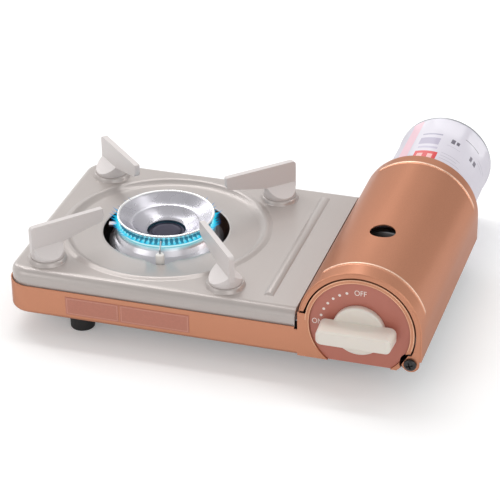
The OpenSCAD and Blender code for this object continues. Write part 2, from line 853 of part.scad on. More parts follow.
module electrode_wire() {
    color(steel) in_place() at_electrode() {
        translate([0, 0, ceramic_z1]) cylinder(r = wire_r, h = wire_up, $fn = 24);
        translate([0, 0, ceramic_z1 + wire_up - 0.2]) rotate([0, -72, 0])
            cylinder(r = wire_r, h = wire_len, $fn = 24);
    }
}

module electrode_bracket() {
    color(zinc) in_place() at_electrode() difference() {
        union() {
            translate([shelf_x0, -shelf_w / 2, shelf_z])
                cube([shelf_x1 - shelf_x0, shelf_w, case_t]);
            translate([shelf_x1 - case_t, -shelf_w / 2, pan_z1])
                cube([case_t, shelf_w, shelf_z + case_t / 2 - pan_z1]);
            translate([shelf_x1 - wall_foot, -shelf_w / 2, pan_z1]) cube([wall_foot, shelf_w, case_t]);
        }
        translate([0, 0, shelf_z - 1]) cylinder(r = ceramic_r + hole_gap, h = case_t + 2);
    }
}

// ---------- burner ----------

module burner_base() {
    floor_z = hub_z0 + hub_wall;
    color(zinc) in_place() difference() {
        union() {
            turned_burner() polygon([
                [0, floor_z], [hub_r - hub_wall, floor_z], [hub_r - hub_wall, hub_z1 + 0.8],
                [ring_in_r - 1.4, ring_bottom - 1.4], [ring_in_r - 1.4, ring_bottom],
                [flame_r + 0.8, ring_bottom], [flame_r + 0.8, ring_bottom - 0.8],
                [flame_r + 1.7, ring_bottom - 3.2], [flame_r + 3.7, ring_bottom - 6.3],
                [skirt_r - 1.8, ring_bottom - 8.6], [skirt_r, ring_bottom - 10.2],
                [skirt_r - 0.4, ring_bottom - 10.9], [skirt_r - 2.4, ring_bottom - 9.4],
                [flame_r + 3, ring_bottom - 7.1], [flame_r + 0.8, ring_bottom - 3.8],
                [flame_r - 0.2, ring_bottom - 2], [ring_in_r - 0.7, ring_bottom - 2.3],
                [hub_r, hub_z1], [hub_r, hub_z0], [0, hub_z0]
            ]);
            translate([burner_x, burner_y, ring_bottom - lug_t]) rotate([0, 0, lug_a])
                translate([flame_r - 0.5, -lug_w / 2, 0]) cube([lug_out - flame_r + 0.5, lug_w, lug_t]);
        }
        along_tube() translate([tube_span - hub_r - 3, 0, 0]) rotate([0, 90, 0])
            cylinder(r = tube_r + 2 * hole_gap, h = 12);
        along_tube() translate([tube_span - skirt_r - 3, 0, 0]) rotate([0, 90, 0])
            cylinder(r = tube_r + near, h = skirt_r - hub_r);
        for (s = [-1, 1])
            rod_z(burner_x + s * burner_screw_at, burner_y, screw_r + hole_gap, hub_z0 - 1, floor_z + 1);
    }
}

module flame_ring() {
    color(steel) in_place() difference() {
        turned_burner() translate([ring_in_r, ring_bottom])
            square([flame_r - ring_in_r, ring_top - ring_bottom]);
        translate([burner_x, burner_y, ring_bottom + 1.2])
            for (i = [0:slot_n - 1]) rotate([0, 0, 360 * (i + 0.5) / slot_n])
                translate([ring_in_r - 1, -slot_w / 2, 0]) cube([4, slot_w, ring_top]);
    }
}

module burner_bowl() {
    color(polished) in_place() turned_burner() polygon([
        [bowl_hole_r, bowl_z - 12.5], [waist_r, bowl_z - 7.1], [waist_r + 0.7, bowl_z - 6.2],
        [bowl_r - 1.6, bowl_z - 0.8], [bowl_r - 0.8, bowl_z], [bowl_r - 0.2, bowl_z],
        [bowl_r, bowl_z - 0.4], [bowl_r, bowl_z - 1.3], [flame_r + 0.4, bowl_z - 2.6],
        [flame_r + 0.2, ring_top], [ring_in_r - 0.2, ring_top],
        [waist_r + 1.2, bowl_z - 7.3], [waist_r + 0.2, bowl_z - 8.2], [bowl_hole_r, bowl_z - 13.6]
    ]);
}

// Cap on a stud in the middle of the burner, seen through the bowl's hole
module burner_core() {
    foot_z = hub_z0 + hub_wall;
    color(black) in_place() turned_burner() polygon([
        [0, foot_z], [core_foot_r, foot_z], [core_foot_r, foot_z + 1.5], [core_stem_r, foot_z + 2.5],
        [core_stem_r, core_z - 3.4], [core_r - 1.6, core_z - 2.6], [core_r - 0.3, core_z - 2.2],
        [core_r, core_z - 1.7], [core_r - 0.4, core_z - 1.2], [core_r - 2.8, core_z - 0.6],
        [core_r - 3.4, core_z - 1], [core_r - 4.4, core_z - 0.9], [core_r - 5, core_z - 0.3],
        [core_r - 7, core_z], [0, core_z]
    ]);
}

module burner_bracket() {
    w = bracket_w / 2;
    color(steel) in_place() difference() {
        union() {
            box(burner_x - bracket_half, burner_x + bracket_half, burner_y - w, burner_y + w,
                hub_z0 - case_t, hub_z0);
            for (s = [-1, 1]) translate([burner_x, burner_y, 0]) mirror([s < 0 ? 1 : 0, 0, 0]) {
                box(bracket_half - case_t, bracket_half, -w, w, pan_z1, hub_z0 - case_t / 2);
                box(bracket_half - case_t, bracket_half + wall_foot, -w, w, pan_z1, pan_z1 + case_t);
            }
        }
        for (s = [-1, 1])
            rod_z(burner_x + s * burner_screw_at, burner_y, screw_r + hole_gap, hub_z0 - 3, hub_z0 + 1);
    }
}

module burner_screws() {
    color(zinc) in_place() for (s = [-1, 1])
        screw_up(burner_x + s * burner_screw_at, burner_y, hub_z0 - case_t, hub_z0 + hub_wall + 0.6,
            screw_r);
}

module mixing_tube() {
    end = tube_span - hub_r + 2.4;
    in_r = tube_r - tube_wall;
    color(steel) in_place() along_tube() rotate([0, 90, 0]) rotate_extrude() polygon([
        [tube_r, end], [tube_r, bell_x + bell_len], [tube_r + bell_out, bell_x + 2],
        [tube_r + bell_out, bell_x], [in_r + bell_out + 0.2, bell_x], [in_r, bell_x + bell_len],
        [in_r, end]
    ]);
}

module nozzle() {
    color(brass) in_place() along_tube() rotate([0, 90, 0]) rotate_extrude() polygon([
        [jet_r, gov_r], [nozzle_r, gov_r], [nozzle_r, gov_r + nozzle_body],
        [nozzle_r - nozzle_step, gov_r + nozzle_body + 1], [nozzle_r - nozzle_step, gov_r + nozzle_neck],
        [nozzle_r - nozzle_step - 1, gov_r + nozzle_len], [jet_r, gov_r + nozzle_len]
    ]);
}

// ---------- governor ----------

module governor_body() {
    color(zinc) in_place() difference() {
        union() {
            rod_y(axis_x, axis_z, gov_r, gov_y0, gov_y1);
            rod_y(axis_x, axis_z, snout_r, gov_y1 - 1, can_y0 - 1.7);
            rod_z(axis_x, gov_y, gov_r - 2, axis_z, cap_z - cap_edge);
            rod_z(axis_x, gov_y, cap_r, cap_z - cap_edge, cap_z);
            rod_z(axis_x, gov_y, outlet_r, tube_z, axis_z);
            along_tube() rotate([0, 90, 0]) cylinder(r = outlet_r, h = gov_r);
            for (a = post_a)
                rod_y(axis_x + post_at * cos(a), axis_z + post_at * sin(a),
                    post_r, recess_d + case_t, gov_y0 + 3);
        }
        rod_y(axis_x, axis_z, spindle_r + fit, gov_y0 - 1, gov_y0 + 9);
        rod_y(axis_x, axis_z, stem_r + 0.6, can_y0 - 10, can_y0);
        for (a = post_a)
            rod_y(axis_x + post_at * cos(a), axis_z + post_at * sin(a),
                screw_r + hole_gap, 0, gov_y0 - 1);
    }
}

module governor_cap() {
    color(steel) in_place() translate([axis_x, gov_y, 0]) rotate_extrude() polygon([
        [0, cap_z], [cap_r, cap_z], [cap_r, cap_z + cap_rim_t], [cap_r - cap_rim_w, cap_z + cap_rim_t],
        [cap_r - cap_rim_w - cap_slope_w, cap_z + cap_slope_z], [cap_top_r, cap_z + cap_dome_z],
        [cap_top_r, cap_z + cap_top_z], [0, cap_z + cap_top_z]
    ]);
}

module governor_screws() {
    color(zinc) in_place() for (a = post_a)
        translate([post_at * cos(a), 0, post_at * sin(a)]) {
            rod_y(axis_x, axis_z, screw_r, recess_d - label_t - eps, gov_y0 - 3);
            rod_y(axis_x, axis_z, screw_head_r - 0.4, recess_d - label_t - 1, recess_d - label_t);
        }
}

module magnet_holder() {
    color(black) in_place() difference() {
        union() {
            rod_y(axis_x, axis_z, holder_r, gov_y1, can_y0 - 3);
            box(axis_x - pin_w / 2, axis_x + pin_w / 2, can_y0 - 4, can_y0 + 0.8,
                axis_z + magnet_r + 0.1, axis_z + pin_r);
        }
        rod_y(axis_x, axis_z, snout_r + hole_gap, gov_y1 - 1, can_y0);
    }
}

module magnet_ring() {
    color(steel) in_place() turned_y() translate([magnet_r - magnet_w, can_y0 - 3])
        square([magnet_w, 3 - near]);
}

module inlet_seal() {
    color(black) in_place() turned_y() translate([snout_r - 0.6, can_y0 - 1]) circle(r = 0.7, $fn = 24);
}

// Aluminium strip that carries warmth from the burner to the can
module heat_panel() {
    z0 = pan_z1 + 0.5;
    color(polished) in_place() {
        intersection() {
            sheet_y(heat_y0, heat_y1) difference() {
                translate([axis_x, axis_z]) circle(trough_r);
                translate([axis_x, axis_z]) circle(trough_r - case_t);
            }
            box(0, axis_x + 12, 0, case_d, 0, z0 + heat_t);
        }
        difference() {
            box(heat_x0, axis_x - 10, heat_y0, heat_y1, z0, z0 + heat_t);
            rod_y(axis_x, axis_z, trough_r - case_t / 2, 0, case_d);
        }
        box(heat_x0, heat_x0 + heat_t, heat_y0, heat_y1, z0, z0 + heat_h);
    }
}

// ---------- pan supports ----------

function support_places() = [
    for (sy = [-1, 1], sx = [-1, 1]) [burner_x + sx * support_a, burner_y + sy * support_a]
];

// Support in its own axes: the disc's centre at the origin, x pointing away from the burner
module support_solid() {
    z0 = seat_z + support_lip;
    notch_z = support_z - 15.6;
    difference() {
        union() {
            translate([0, 0, seat_z]) cylinder(r = disc_r, h = support_lip);
            intersection() {
                translate([0, 0, z0 - eps]) cylinder(r = disc_r, h = 9);
                rotate([90, 0, 90]) translate([0, 0, -disc_r]) linear_extrude(2 * disc_r) polygon([
                    [-disc_r, z0 - eps], [-blade_t / 2, z0 + 6.5], [blade_t / 2, z0 + 6.5],
                    [disc_r, z0 - eps]
                ]);
            }
            rotate([90, 0, 0]) linear_extrude(blade_t, center = true) polygon(concat(
                [[-disc_r + 0.3, z0 - 0.5], [disc_r - 0.6, z0 - 0.5], [blade_out, z0 + 3]],
                arc(blade_out - 2.5, support_z - 2.5, 2.5, 0, 90),
                arc(-blade_in + 1, support_z - 1, 1, 90, 180, 3),
                arc(-blade_in + 4, support_z - tip_d + 4, 4, 180, 260),
                arc(-disc_r - 2, notch_z - 2, 2.2, 80, 0, 4)
            ));
        }
        translate([0, 0, seat_z - 1]) cylinder(r = support_screw_r + hole_gap, h = 7);
    }
}

module support(i) {
    p = support_places()[i];
    out = atan2(p[1] - burner_y, p[0] - burner_x);
    color(pale_greige) in_place() translate([p[0], p[1], 0])
        rotate([0, 0, out + support_turn[i]]) support_solid();
}

// Screw driven upwards: its head lies below z0
module screw_up(x, y, z0, z1, r) {
    rod_z(x, y, r, z0 - eps, z1);
    rod_z(x, y, 2 * r, z0 - screw_head_h, z0);
}

module support_screws() {
    color(zinc) in_place() for (p = support_places())
        screw_up(p[0], p[1], seat_z - plate_t - eps, seat_z + 5.6, support_screw_r);
}

// ---------- cover ----------

// Arch with straight sides, in (x, z): radius r, left side down to zl, right side down to zr
module arch(r, zl, zr) {
    translate([axis_x, axis_z]) {
        intersection() {
            circle(r);
            translate([-r, 0]) square([2 * r, r]);
        }
        translate([-r, zl - axis_z]) square([r, axis_z - zl + eps]);
        translate([0, zr - axis_z]) square([r, axis_z - zr + eps]);
    }
}

// End flange inside the cover's sheet, open round whatever stands in it: its left side ends
// at zl, and its hinge ear has radius ear
module cover_end(inner_r, zl, ear) {
    reach = norm([hinge_x - axis_x, hinge_z - axis_z]) + inner_r - mouth_gap + near + 0.2;
    difference() {
        union() {
            difference() {
                arch(cover_r - cover_t - press_gap, zl, cover_z0);
                translate([axis_x, axis_z]) circle(inner_r);
                square([axis_x, zl]);
                intersection() {
                    translate([hinge_x, hinge_z]) circle(reach);
                    translate([axis_x - cover_r - 1, 0])
                        square([cover_r * 0.42, axis_z + cover_r * 0.6]);
                }
            }
            translate([hinge_x, hinge_z]) circle(ear);
        }
        translate([axis_x, axis_z]) circle(seam_r + 1.2);
        translate([hinge_x, hinge_z]) circle(hinge_r + fit);
    }
}

module cover_rib(y) {
    translate([axis_x, y, axis_z]) rotate([90, 0, 0]) rotate([0, 0, rib_a0])
        rotate_extrude(angle = rib_a1 - rib_a0) polygon([
            [cover_r - cover_t / 2, -rib_half], [cover_r, -rib_half],
            [cover_r + cover_rib_h * 0.7, -rib_half * 0.55], [cover_r + cover_rib_h, -rib_half * 0.15],
            [cover_r + cover_rib_h, rib_half * 0.15], [cover_r + cover_rib_h * 0.7, rib_half * 0.55],
            [cover_r, rib_half], [cover_r - cover_t / 2, rib_half]
        ]);
}

module cover() {
    color(copper) in_place() difference() {
        union() {
            sheet_y(0, cover_d) difference() {
                arch(cover_r, cover_left_z, cover_z0);
                arch(cover_r - cover_t, cover_left_z - 1, cover_z0 - 1);
            }
            for (y = cover_rib_y) cover_rib(y);
        }
        rod_z(axis_x, cover_hole_y, cover_hole_r, axis_z + cover_r / 2, axis_z + cover_r + 2);
        box(body_w - 1, body_w + cover_t + 1, -1, case_t + 0.6, cover_left_z - 1, cover_front_z);
    }
}

module cover_front_end() {
    color(copper) in_place() sheet_y(0, cover_t)
        cover_end(panel_r + mouth_gap, cover_front_z, ear_r);
}

module cover_rear_end() {
    color(copper) in_place() sheet_y(cover_d - cover_t, cover_d)
        cover_end(seam_r + 3, cover_left_z, rear_ear_r);
}

// Domed screws on which the cover swings, one at each end
module hinge_screw(y, s) {
    translate([hinge_x, y, hinge_z]) rotate([s * 90, 0, 0]) {
        rotate_extrude() polygon(concat(
            [[0, 0], [head_r, 0], [head_r, head_h * 0.3]],
            [for (a = [15:15:75]) [head_r * cos(a), head_h * (0.3 + 0.7 * sin(a))]],
            [[0, head_h]]
        ));
        translate([0, 0, -hinge_len]) cylinder(r = hinge_r, h = hinge_len + eps);
    }
}

module hinge_screws() {
    color(black) in_place() {
        hinge_screw(-near, 1);
        hinge_screw(cover_d + near, -1);
    }
}

// ---------- feet and screws ----------

// Rubber foot with a sunk screw hole; the top is cut to the sheet that it sits on
module foot_solid(x, y, z1, sink) {
    difference() {
        translate([x, y, 0]) rotate_extrude() polygon(concat(
            [[0, 0], [foot_r - 1.6, 0]],
            arc(foot_r - 1.6, 1.2, 1.2, -90, -15, 4),
            [[foot_r, z1], [0, z1]]
        ));
        rod_z(x, y, screw_head_r + 0.6, -1, sink);
        rod_z(x, y, screw_r + hole_gap, -1, z1 + 1);
    }
}

module foot_left(y) {
    color(black) in_place() foot_solid(foot_in, y, case_floor, foot_sink);
}

module foot_trough(y) {
    color(black) in_place() difference() {
        foot_solid(axis_x, y, trough_z0 + 3.1, trough_sink);
        rod_y(axis_x, axis_z, trough_r + case_t, 0, case_d);
    }
}

module foot_screws() {
    color(zinc) in_place() {
        for (y = [foot_y, case_d - foot_y]) screw_up(foot_in, y, foot_sink, pan_z1 + 2, screw_r);
        for (y = trough_foot_y) screw_up(axis_x, y, trough_sink, axis_z - trough_r + 0.5, screw_r);
    }
}

module case_screws() {
    color(zinc) in_place() for (p = case_screw_at)
        screw_up(p[0], p[1], case_z0, pan_z1 + 2, screw_r);
}

module plate_screws() {
    color(zinc) in_place() for (x = screw_x) {
        rod_y(x, plate_screw_z, screw_r, case_d - 6, case_d + eps);
        rod_y(x, plate_screw_z, screw_head_r, case_d, case_d + 1.4);
    }
}

// ---------- gas can ----------

module can_body() {
    end_r = can_r - 3.3;
    cone_r = can_r * 0.48;
    color(white) in_place() turned_y() polygon([
        [can_r, dome_y], [can_r, can_y1 - 3.4], [seam_r, can_y1 - 3], [seam_r, can_y1],
        [can_r - 0.9, can_y1], [can_r - 0.9, can_y1 - 3.6], [end_r, can_y1 - 4.4],
        [cone_r, can_y1 - 8.2], [0, can_y1 - 9.5], [0, can_y1 - 10.3], [cone_r + 0.2, can_y1 - 9],
        [end_r + 0.4, can_y1 - 5.2], [can_r - can_t, can_y1 - 4.4], [can_r - can_t, dome_y]
    ]);
}

module can_dome() {
    color(steel) in_place() turned_y() polygon([
        [seam_r, dome_y - 3.2], [seam_r, dome_y], [can_r - can_t, dome_y],
        [can_r - can_t, dome_y - 2.1], [can_r - 1.8, dome_y - 2.5], [cup_r + 0.8, can_y0 + 6],
        [cup_r, can_y0 + 6], [cup_r, can_y0 + 5], [cup_r + 0.8, can_y0 + 5],
        [can_r - 1.4, dome_y - 3.5], [can_r - 1, dome_y - 3.2]
    ]);
}

// Valve cup crimped over the dome's edge; the collar's notch sets the can the right way up
module can_collar() {
    out_r = cup_r - hole_gap;
    color(zinc) in_place() difference() {
        turned_y() polygon([
            [stem_r + hole_gap, can_y0], [collar_r, can_y0], [collar_r, can_y0 + 1],
            [out_r, can_y0 + 1], [out_r, can_y0 + 6], [cup_r + 0.6, can_y0 + 6],
            [cup_r + 0.6, can_y0 + 6.5], [out_r - can_t, can_y0 + 6.5], [out_r - can_t, can_y0 + 1.8],
            [stem_r + hole_gap, can_y0 + 1.8]
        ]);
        box(axis_x - 2.2, axis_x + 2.2, can_y0 - 1, can_y0 + 2, axis_z + magnet_r - 0.7,
            axis_z + collar_r + 1);
    }
}

module can_stem() {
    color(white) in_place() rod_y(axis_x, axis_z, stem_r, can_y0 - 7, can_y0 + 5);
}

case();
base_pan();
top_plate();
partition();
label_strip();
dial_plate();
knob();
valve_spindle();
igniter_cam();
igniter_body();
igniter_plunger();
igniter_lead();
electrode_insulator();
electrode_wire();
electrode_bracket();
burner_base();
flame_ring();
burner_bowl();
burner_core();
burner_bracket();
burner_screws();
mixing_tube();
nozzle();
governor_body();
governor_cap();
governor_screws();
magnet_holder();
magnet_ring();
inlet_seal();
heat_panel();
support(0);  // support_front_left
support(1);  // support_front_right
support(2);  // support_rear_left
support(3);  // support_rear_right
support_screws();
cover();
cover_front_end();
cover_rear_end();
hinge_screws();
foot_left(foot_y);  // foot_front_left
foot_left(case_d - foot_y);  // foot_rear_left
foot_trough(trough_foot_y[0]);  // foot_front_right
foot_trough(trough_foot_y[1]);  // foot_rear_right
foot_screws();
case_screws();
plate_screws();
can_body();
can_dome();
can_collar();
can_stem();
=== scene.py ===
import math

import bmesh
import bpy
from mathutils import Matrix, Vector


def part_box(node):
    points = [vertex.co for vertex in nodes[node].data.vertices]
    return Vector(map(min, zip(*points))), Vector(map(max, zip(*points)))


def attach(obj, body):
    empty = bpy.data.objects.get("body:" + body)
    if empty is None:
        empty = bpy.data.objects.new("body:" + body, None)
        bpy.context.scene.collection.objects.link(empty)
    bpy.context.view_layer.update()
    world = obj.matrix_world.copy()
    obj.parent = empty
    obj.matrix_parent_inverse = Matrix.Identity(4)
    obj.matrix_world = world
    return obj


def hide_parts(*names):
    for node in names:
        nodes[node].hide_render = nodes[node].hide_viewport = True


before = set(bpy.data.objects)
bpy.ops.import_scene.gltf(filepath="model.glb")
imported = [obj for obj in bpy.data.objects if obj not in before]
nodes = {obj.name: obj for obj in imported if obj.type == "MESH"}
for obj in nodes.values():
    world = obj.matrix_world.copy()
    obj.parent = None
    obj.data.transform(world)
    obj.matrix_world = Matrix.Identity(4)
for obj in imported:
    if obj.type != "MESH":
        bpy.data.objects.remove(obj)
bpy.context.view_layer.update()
mm = 0.001

# Places that the pieces are built from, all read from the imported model
bowlLow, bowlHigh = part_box("burner_bowl")
burnerAt = (bowlLow + bowlHigh) / 2
bowlRadius = (bowlHigh.x - bowlLow.x) / 2
ringLow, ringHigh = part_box("flame_ring")
ringRadius = (ringHigh.x - ringLow.x) / 2
canLow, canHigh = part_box("can_body")
canAxis = (canLow + canHigh) / 2
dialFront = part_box("dial_plate")[0].y
coverLow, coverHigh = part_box("cover")
print("frame loaded")


# Linear colour from a hex code
def srgb(code):
    values = [int(code[i:i + 2], 16) / 255 for i in (0, 2, 4)]
    return tuple(v / 12.92 if v <= 0.04045 else ((v + 0.055) / 1.055) ** 2.4 for v in values) + (1,)


# A node tree, with short calls for making its nodes and joining them
class NodeTree:
    def __init__(self, tree):
        self.tree = tree

    def node(self, kind, **values):
        made = self.tree.nodes.new(kind)
        for key, value in values.items():
            setattr(made, key, value)
        return made

    def link(self, source, target):
        self.tree.links.new(source, target)

    # Joins value to socket if it is another node's output, and otherwise writes it there
    def put(self, socket, value):
        if hasattr(value, "is_output"):
            self.link(value, socket)
        else:
            socket.default_value = value

    def math(self, operation, a, b=0.0):
        made = self.node("ShaderNodeMath", operation=operation)
        self.put(made.inputs[0], a)
        self.put(made.inputs[1], b)
        return made.outputs[0]

    # share of a, and the rest of b
    def blend(self, a, b, share):
        return self.math("ADD", self.math("MULTIPLY", a, share), self.math("MULTIPLY", b, 1 - share))

    # 1 where value lies between low and high
    def inside(self, value, low, high):
        above = self.math("GREATER_THAN", value, low)
        return self.math("MULTIPLY", above, self.math("LESS_THAN", value, high))

    # A value that runs from start to end, spread over low to high. A noise runs mostly from 0.3 to 0.7.
    def spread(self, value, low, high, start=0.3, end=0.7):
        made = self.node("ShaderNodeMapRange")
        for key, given in (("From Min", start), ("From Max", end), ("To Min", low), ("To Max", high)):
            made.inputs[key].default_value = given
        self.link(value, made.inputs["Value"])
        return made.outputs["Result"]

    def mixColour(self, share, a, b):
        made = self.node("ShaderNodeMix", data_type="RGBA")
        for socket, value in zip([s for s in made.inputs if s.enabled], (share, a, b)):
            self.put(socket, value)
        return [s for s in made.outputs if s.enabled][0]

    # Colour and alpha for value, from stops of (place, colour)
    def ramp(self, value, stops):
        made = self.node("ShaderNodeValToRGB")
        elements = made.color_ramp.elements
        while len(elements) < len(stops):
            elements.new(0.5)
        for element, (place, colour) in zip(elements, stops):
            element.position = place
            element.color = colour
        self.link(value, made.inputs["Fac"])
        return made.outputs


# A material, with short calls for what its finishes share
class Surface(NodeTree):
    def __init__(self, name, base, rough, metal=0.0):
        self.material = bpy.data.materials.new(name)
        self.material.use_nodes = True
        super().__init__(self.material.node_tree)
        self.shader = self.tree.nodes["Principled BSDF"]
        self.base = srgb(base)
        self.rough = rough
        self.set("Base Color", self.base)
        self.set("Roughness", rough)
        self.set("Metallic", metal)
        self.coords = self.node("ShaderNodeTexCoord").outputs["Object"]

    def set(self, name, value):
        self.shader.inputs[name].default_value = value

    def noise(self, scale, detail=3.0, stretch=(1, 1, 1)):
        mapping = self.node("ShaderNodeMapping")
        mapping.inputs["Scale"].default_value = stretch
        self.link(self.coords, mapping.inputs["Vector"])
        made = self.node("ShaderNodeTexNoise")
        made.inputs["Scale"].default_value = scale
        made.inputs["Detail"].default_value = detail
        self.link(mapping.outputs["Vector"], made.inputs["Vector"])
        return made.outputs["Fac"]

    # Base colour that value makes lighter and darker by depth
    def tint(self, value, depth):
        dark = tuple(c * (1 - depth) for c in self.base[:3]) + (1,)
        light = tuple(min(c * (1 + depth), 1) for c in self.base[:3]) + (1,)
        return self.mixColour(self.spread(value, 0.0, 1.0), dark, light)

    def colour(self, source):
        self.link(source, self.shader.inputs["Base Color"])

    def roughness(self, value, swing):
        rough = self.spread(value, self.rough - swing, self.rough + swing)
        self.link(rough, self.shader.inputs["Roughness"])

    # Fine relief: depth in metres
    def bump(self, height, depth):
        made = self.node("ShaderNodeBump")
        made.inputs["Distance"].default_value = depth
        self.link(height, made.inputs["Height"])
        self.link(made.outputs["Normal"], self.shader.inputs["Normal"])

    # x, y and z of the surface point, from centre, in metres
    def axes(self, centre=(0, 0, 0)):
        split = self.node("ShaderNodeSeparateXYZ")
        self.link(self.coords, split.inputs[0])
        return [self.math("SUBTRACT", split.outputs[i], float(centre[i])) for i in range(3)]

    # Distance from the axis on which a and b are 0
    def distance(self, a, b):
        total = self.math("ADD", self.math("MULTIPLY", a, a), self.math("MULTIPLY", b, b))
        return self.math("SQRT", total)


# Sprayed paint: fine flakes, slow tone changes and the faint dimples of a sprayed film. On the crest
# of each pressed bead, a lighter colour is a painted highlight.
sprayed = {
    "flakes": 2600, "flakeShare": 0.7, "flakeRelief": 0.15, "slow": 9, "dimples": 420, "swing": 0.04,
    "coatRough": 0.18,
}


def paint(name, base, rough, metal, flake=0.05, peel=0.004 * mm, coat=0.0, rim=None, beadHighlight=None):
    s = Surface(name, base, rough, metal)
    flakes = s.noise(sprayed["flakes"], 1.0)
    slow = s.noise(sprayed["slow"], 2.0)
    shown = s.tint(s.blend(flakes, slow, sprayed["flakeShare"]), flake)
    # Painted highlight: the crests of the pressed beads get a lighter colour
    if beadHighlight:
        beadHighlightMask = s.node("ShaderNodeAttribute", attribute_name="beadHighlightMask").outputs["Fac"]
        shown = s.mixColour(beadHighlightMask, shown, srgb(beadHighlight))
    s.colour(shown)
    if rim:
        s.set("Specular Tint", srgb(rim))
    s.roughness(slow, sprayed["swing"])
    dimples = s.noise(sprayed["dimples"], 2.0)
    s.bump(s.math("ADD", dimples, s.math("MULTIPLY", flakes, sprayed["flakeRelief"])), peel)
    s.set("Coat Weight", coat)
    s.set("Coat Roughness", sprayed["coatRough"])
    return s.material


# Bare metal: directional grain, dull and bright patches
bareMetal = {"patches": 22, "grainShare": 0.5, "swing": 0.06, "depth": 0.004 * mm}


def metalSheet(name, base, rough, streak=(1, 1, 1), scale=160, tone=0.08):
    s = Surface(name, base, rough, 1.0)
    grain = s.noise(scale, 4.0, streak)
    patches = s.noise(bareMetal["patches"], 3.0)
    s.colour(s.tint(s.blend(grain, patches, bareMetal["grainShare"]), tone))
    s.roughness(patches, bareMetal["swing"])
    s.bump(grain, bareMetal["depth"])
    return s.material


# Metal that was spun or polished on a lathe: fine rings round the burner's axis, light in fans,
# the blue of heat in its lower part, and a painted highlight that turns the bowl's rim white
# outside a given radius
spun = {
    "ringShare": 0.6, "ringDetail": 3, "patches": 60, "swing": 0.25, "tone": 0.04,
    "blue": "8d8aa6", "blueLow": -12 * mm, "blueHigh": 4 * mm, "rim": "ffffff",
}


def spunMetal(name, base, rough, pitch=0.35 * mm, depth=0.003 * mm, heat=0.0, fan=0.0, rolled=0.0):
    s = Surface(name, base, rough, 1.0)
    x, y, z = s.axes(burnerAt)
    radius = s.distance(x, y)
    rings = s.node("ShaderNodeTexNoise", noise_dimensions="1D")
    rings.inputs["Scale"].default_value = 1 / pitch
    rings.inputs["Detail"].default_value = spun["ringDetail"]
    s.link(s.math("ADD", radius, z), rings.inputs["W"])
    patches = s.noise(spun["patches"], 3.0)
    shown = s.tint(s.blend(rings.outputs["Fac"], patches, spun["ringShare"]), spun["tone"])
    blued = s.spread(z, heat, 0.0, spun["blueLow"], spun["blueHigh"])
    shown = s.mixColour(blued, shown, srgb(spun["blue"]))
    # Painted highlight: white colour on the bowl's rim
    if rolled:
        shown = s.mixColour(s.math("GREATER_THAN", radius, rolled), shown, srgb(spun["rim"]))
    s.colour(shown)
    s.roughness(patches, rough * spun["swing"])
    s.bump(rings.outputs["Fac"], depth)
    if fan:
        s.set("Anisotropic", fan)
        around = s.node("ShaderNodeTangent", direction_type="RADIAL", axis="Z")
        s.link(around.outputs[0], s.shader.inputs["Tangent"])
    return s.material


# Moulded plastic or rubber: fine spark texture, slight tone changes
plastic = {"slow": 30, "swing": 0.05, "softDepth": 2 * mm}


def moulded(name, base, rough, grain=300, depth=0.004 * mm, tone=0.03, soft=0.0):
    s = Surface(name, base, rough)
    slow = s.noise(plastic["slow"], 2.0)
    s.colour(s.tint(slow, tone))
    s.roughness(slow, plastic["swing"])
    s.bump(s.noise(grain, 3.0), depth)
    s.set("Subsurface Weight", soft)
    s.set("Subsurface Scale", plastic["softDepth"])
    return s.material


# Label panels on the band, and the fine light line inside each panel's edge
labels = {
    "gap": 0.8 * mm, "firstWidth": 37.8 * mm, "inset": 0.9 * mm, "line": 0.3 * mm,
    "rough": 0.42, "slow": 40, "swing": 0.04, "speckle": 900, "tone": 0.04, "depth": 0.002 * mm,
}
labelLow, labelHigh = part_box("label_strip")
labelSplit = labelLow.x + labels["firstWidth"]
labelSides = [
    (labelLow.x, labelSplit - labels["gap"] / 2),
    (labelSplit + labels["gap"] / 2, labelHigh.x),
]


def labelFilm(name, base, line):
    s = Surface(name, base, labels["rough"])
    x, _, z = s.axes()
    share = 0.0
    for x0, x1 in labelSides:
        areas = []
        for inset in (labels["inset"], labels["inset"] + labels["line"]):
            across = s.inside(x, x0 + inset, x1 - inset)
            upright = s.inside(z, labelLow.z + inset, labelHigh.z - inset)
            areas.append(s.math("MULTIPLY", across, upright))
        share = s.math("ADD", share, s.math("SUBTRACT", areas[0], areas[1]))
    speckle = s.noise(labels["speckle"], 2.0)
    s.colour(s.mixColour(share, s.tint(speckle, labels["tone"]), srgb(line)))
    s.roughness(s.noise(labels["slow"], 2.0), labels["swing"])
    s.bump(speckle, labels["depth"])
    return s.material


# Printed tinplate, with no words: angle from the top and distance from the rear end, in degrees and mm
canMarks = [
    ((-42, -27, 2.5, 150), "f3cdd8"),
    ((-18, 10, 52, 90), "dc3b3f"),
    ((-14, -7, 56, 74), "f2b9b6"),
    ((-1, 5, 56, 74), "f2b9b6"),
    ((-19, 6, 31, 41), "b9b2c6"),
    ((-19, 6, 24.5, 26.3), "aaa4ba"),
    ((-17, 7, 44.5, 47.5), "c6c0d2"),
    ((19, 24, 27, 33), "6b6673"),
    ((26, 30, 27.5, 32), "6b6673"),
    ((34, 58, 17.5, 18.2), "5d5965"),
    ((49, 53, 31, 37), "77727f"),
    ((56, 61, 31, 37), "77727f"),
    ((16, 34, 37, 37.7), "c9c5d0"),
    ((14, 40, 50, 50.7), "c3bfca"),
    ((14, 36, 54, 54.7), "c3bfca"),
    ((14, 42, 58, 58.7), "c3bfca"),
    ((62, 84, 24, 24.7), "c3bfca"),
    ((62, 78, 28, 28.7), "c3bfca"),
]


# The can's lacquered white ground, the bare tinplate of its end, and the darker seam round that end
tinplate = {
    "ground": "dedae4", "bare": "c9cacf", "seam": "a3a5ab", "seamLong": 1.6 * mm, "rimWide": 1.4 * mm,
    "rough": 0.3, "metal": 0.9, "coat": 0.5, "coatRough": 0.08,
    "slow": 18, "tone": 0.02, "swing": 0.02, "dimples": 420, "depth": 0.0005 * mm,
}


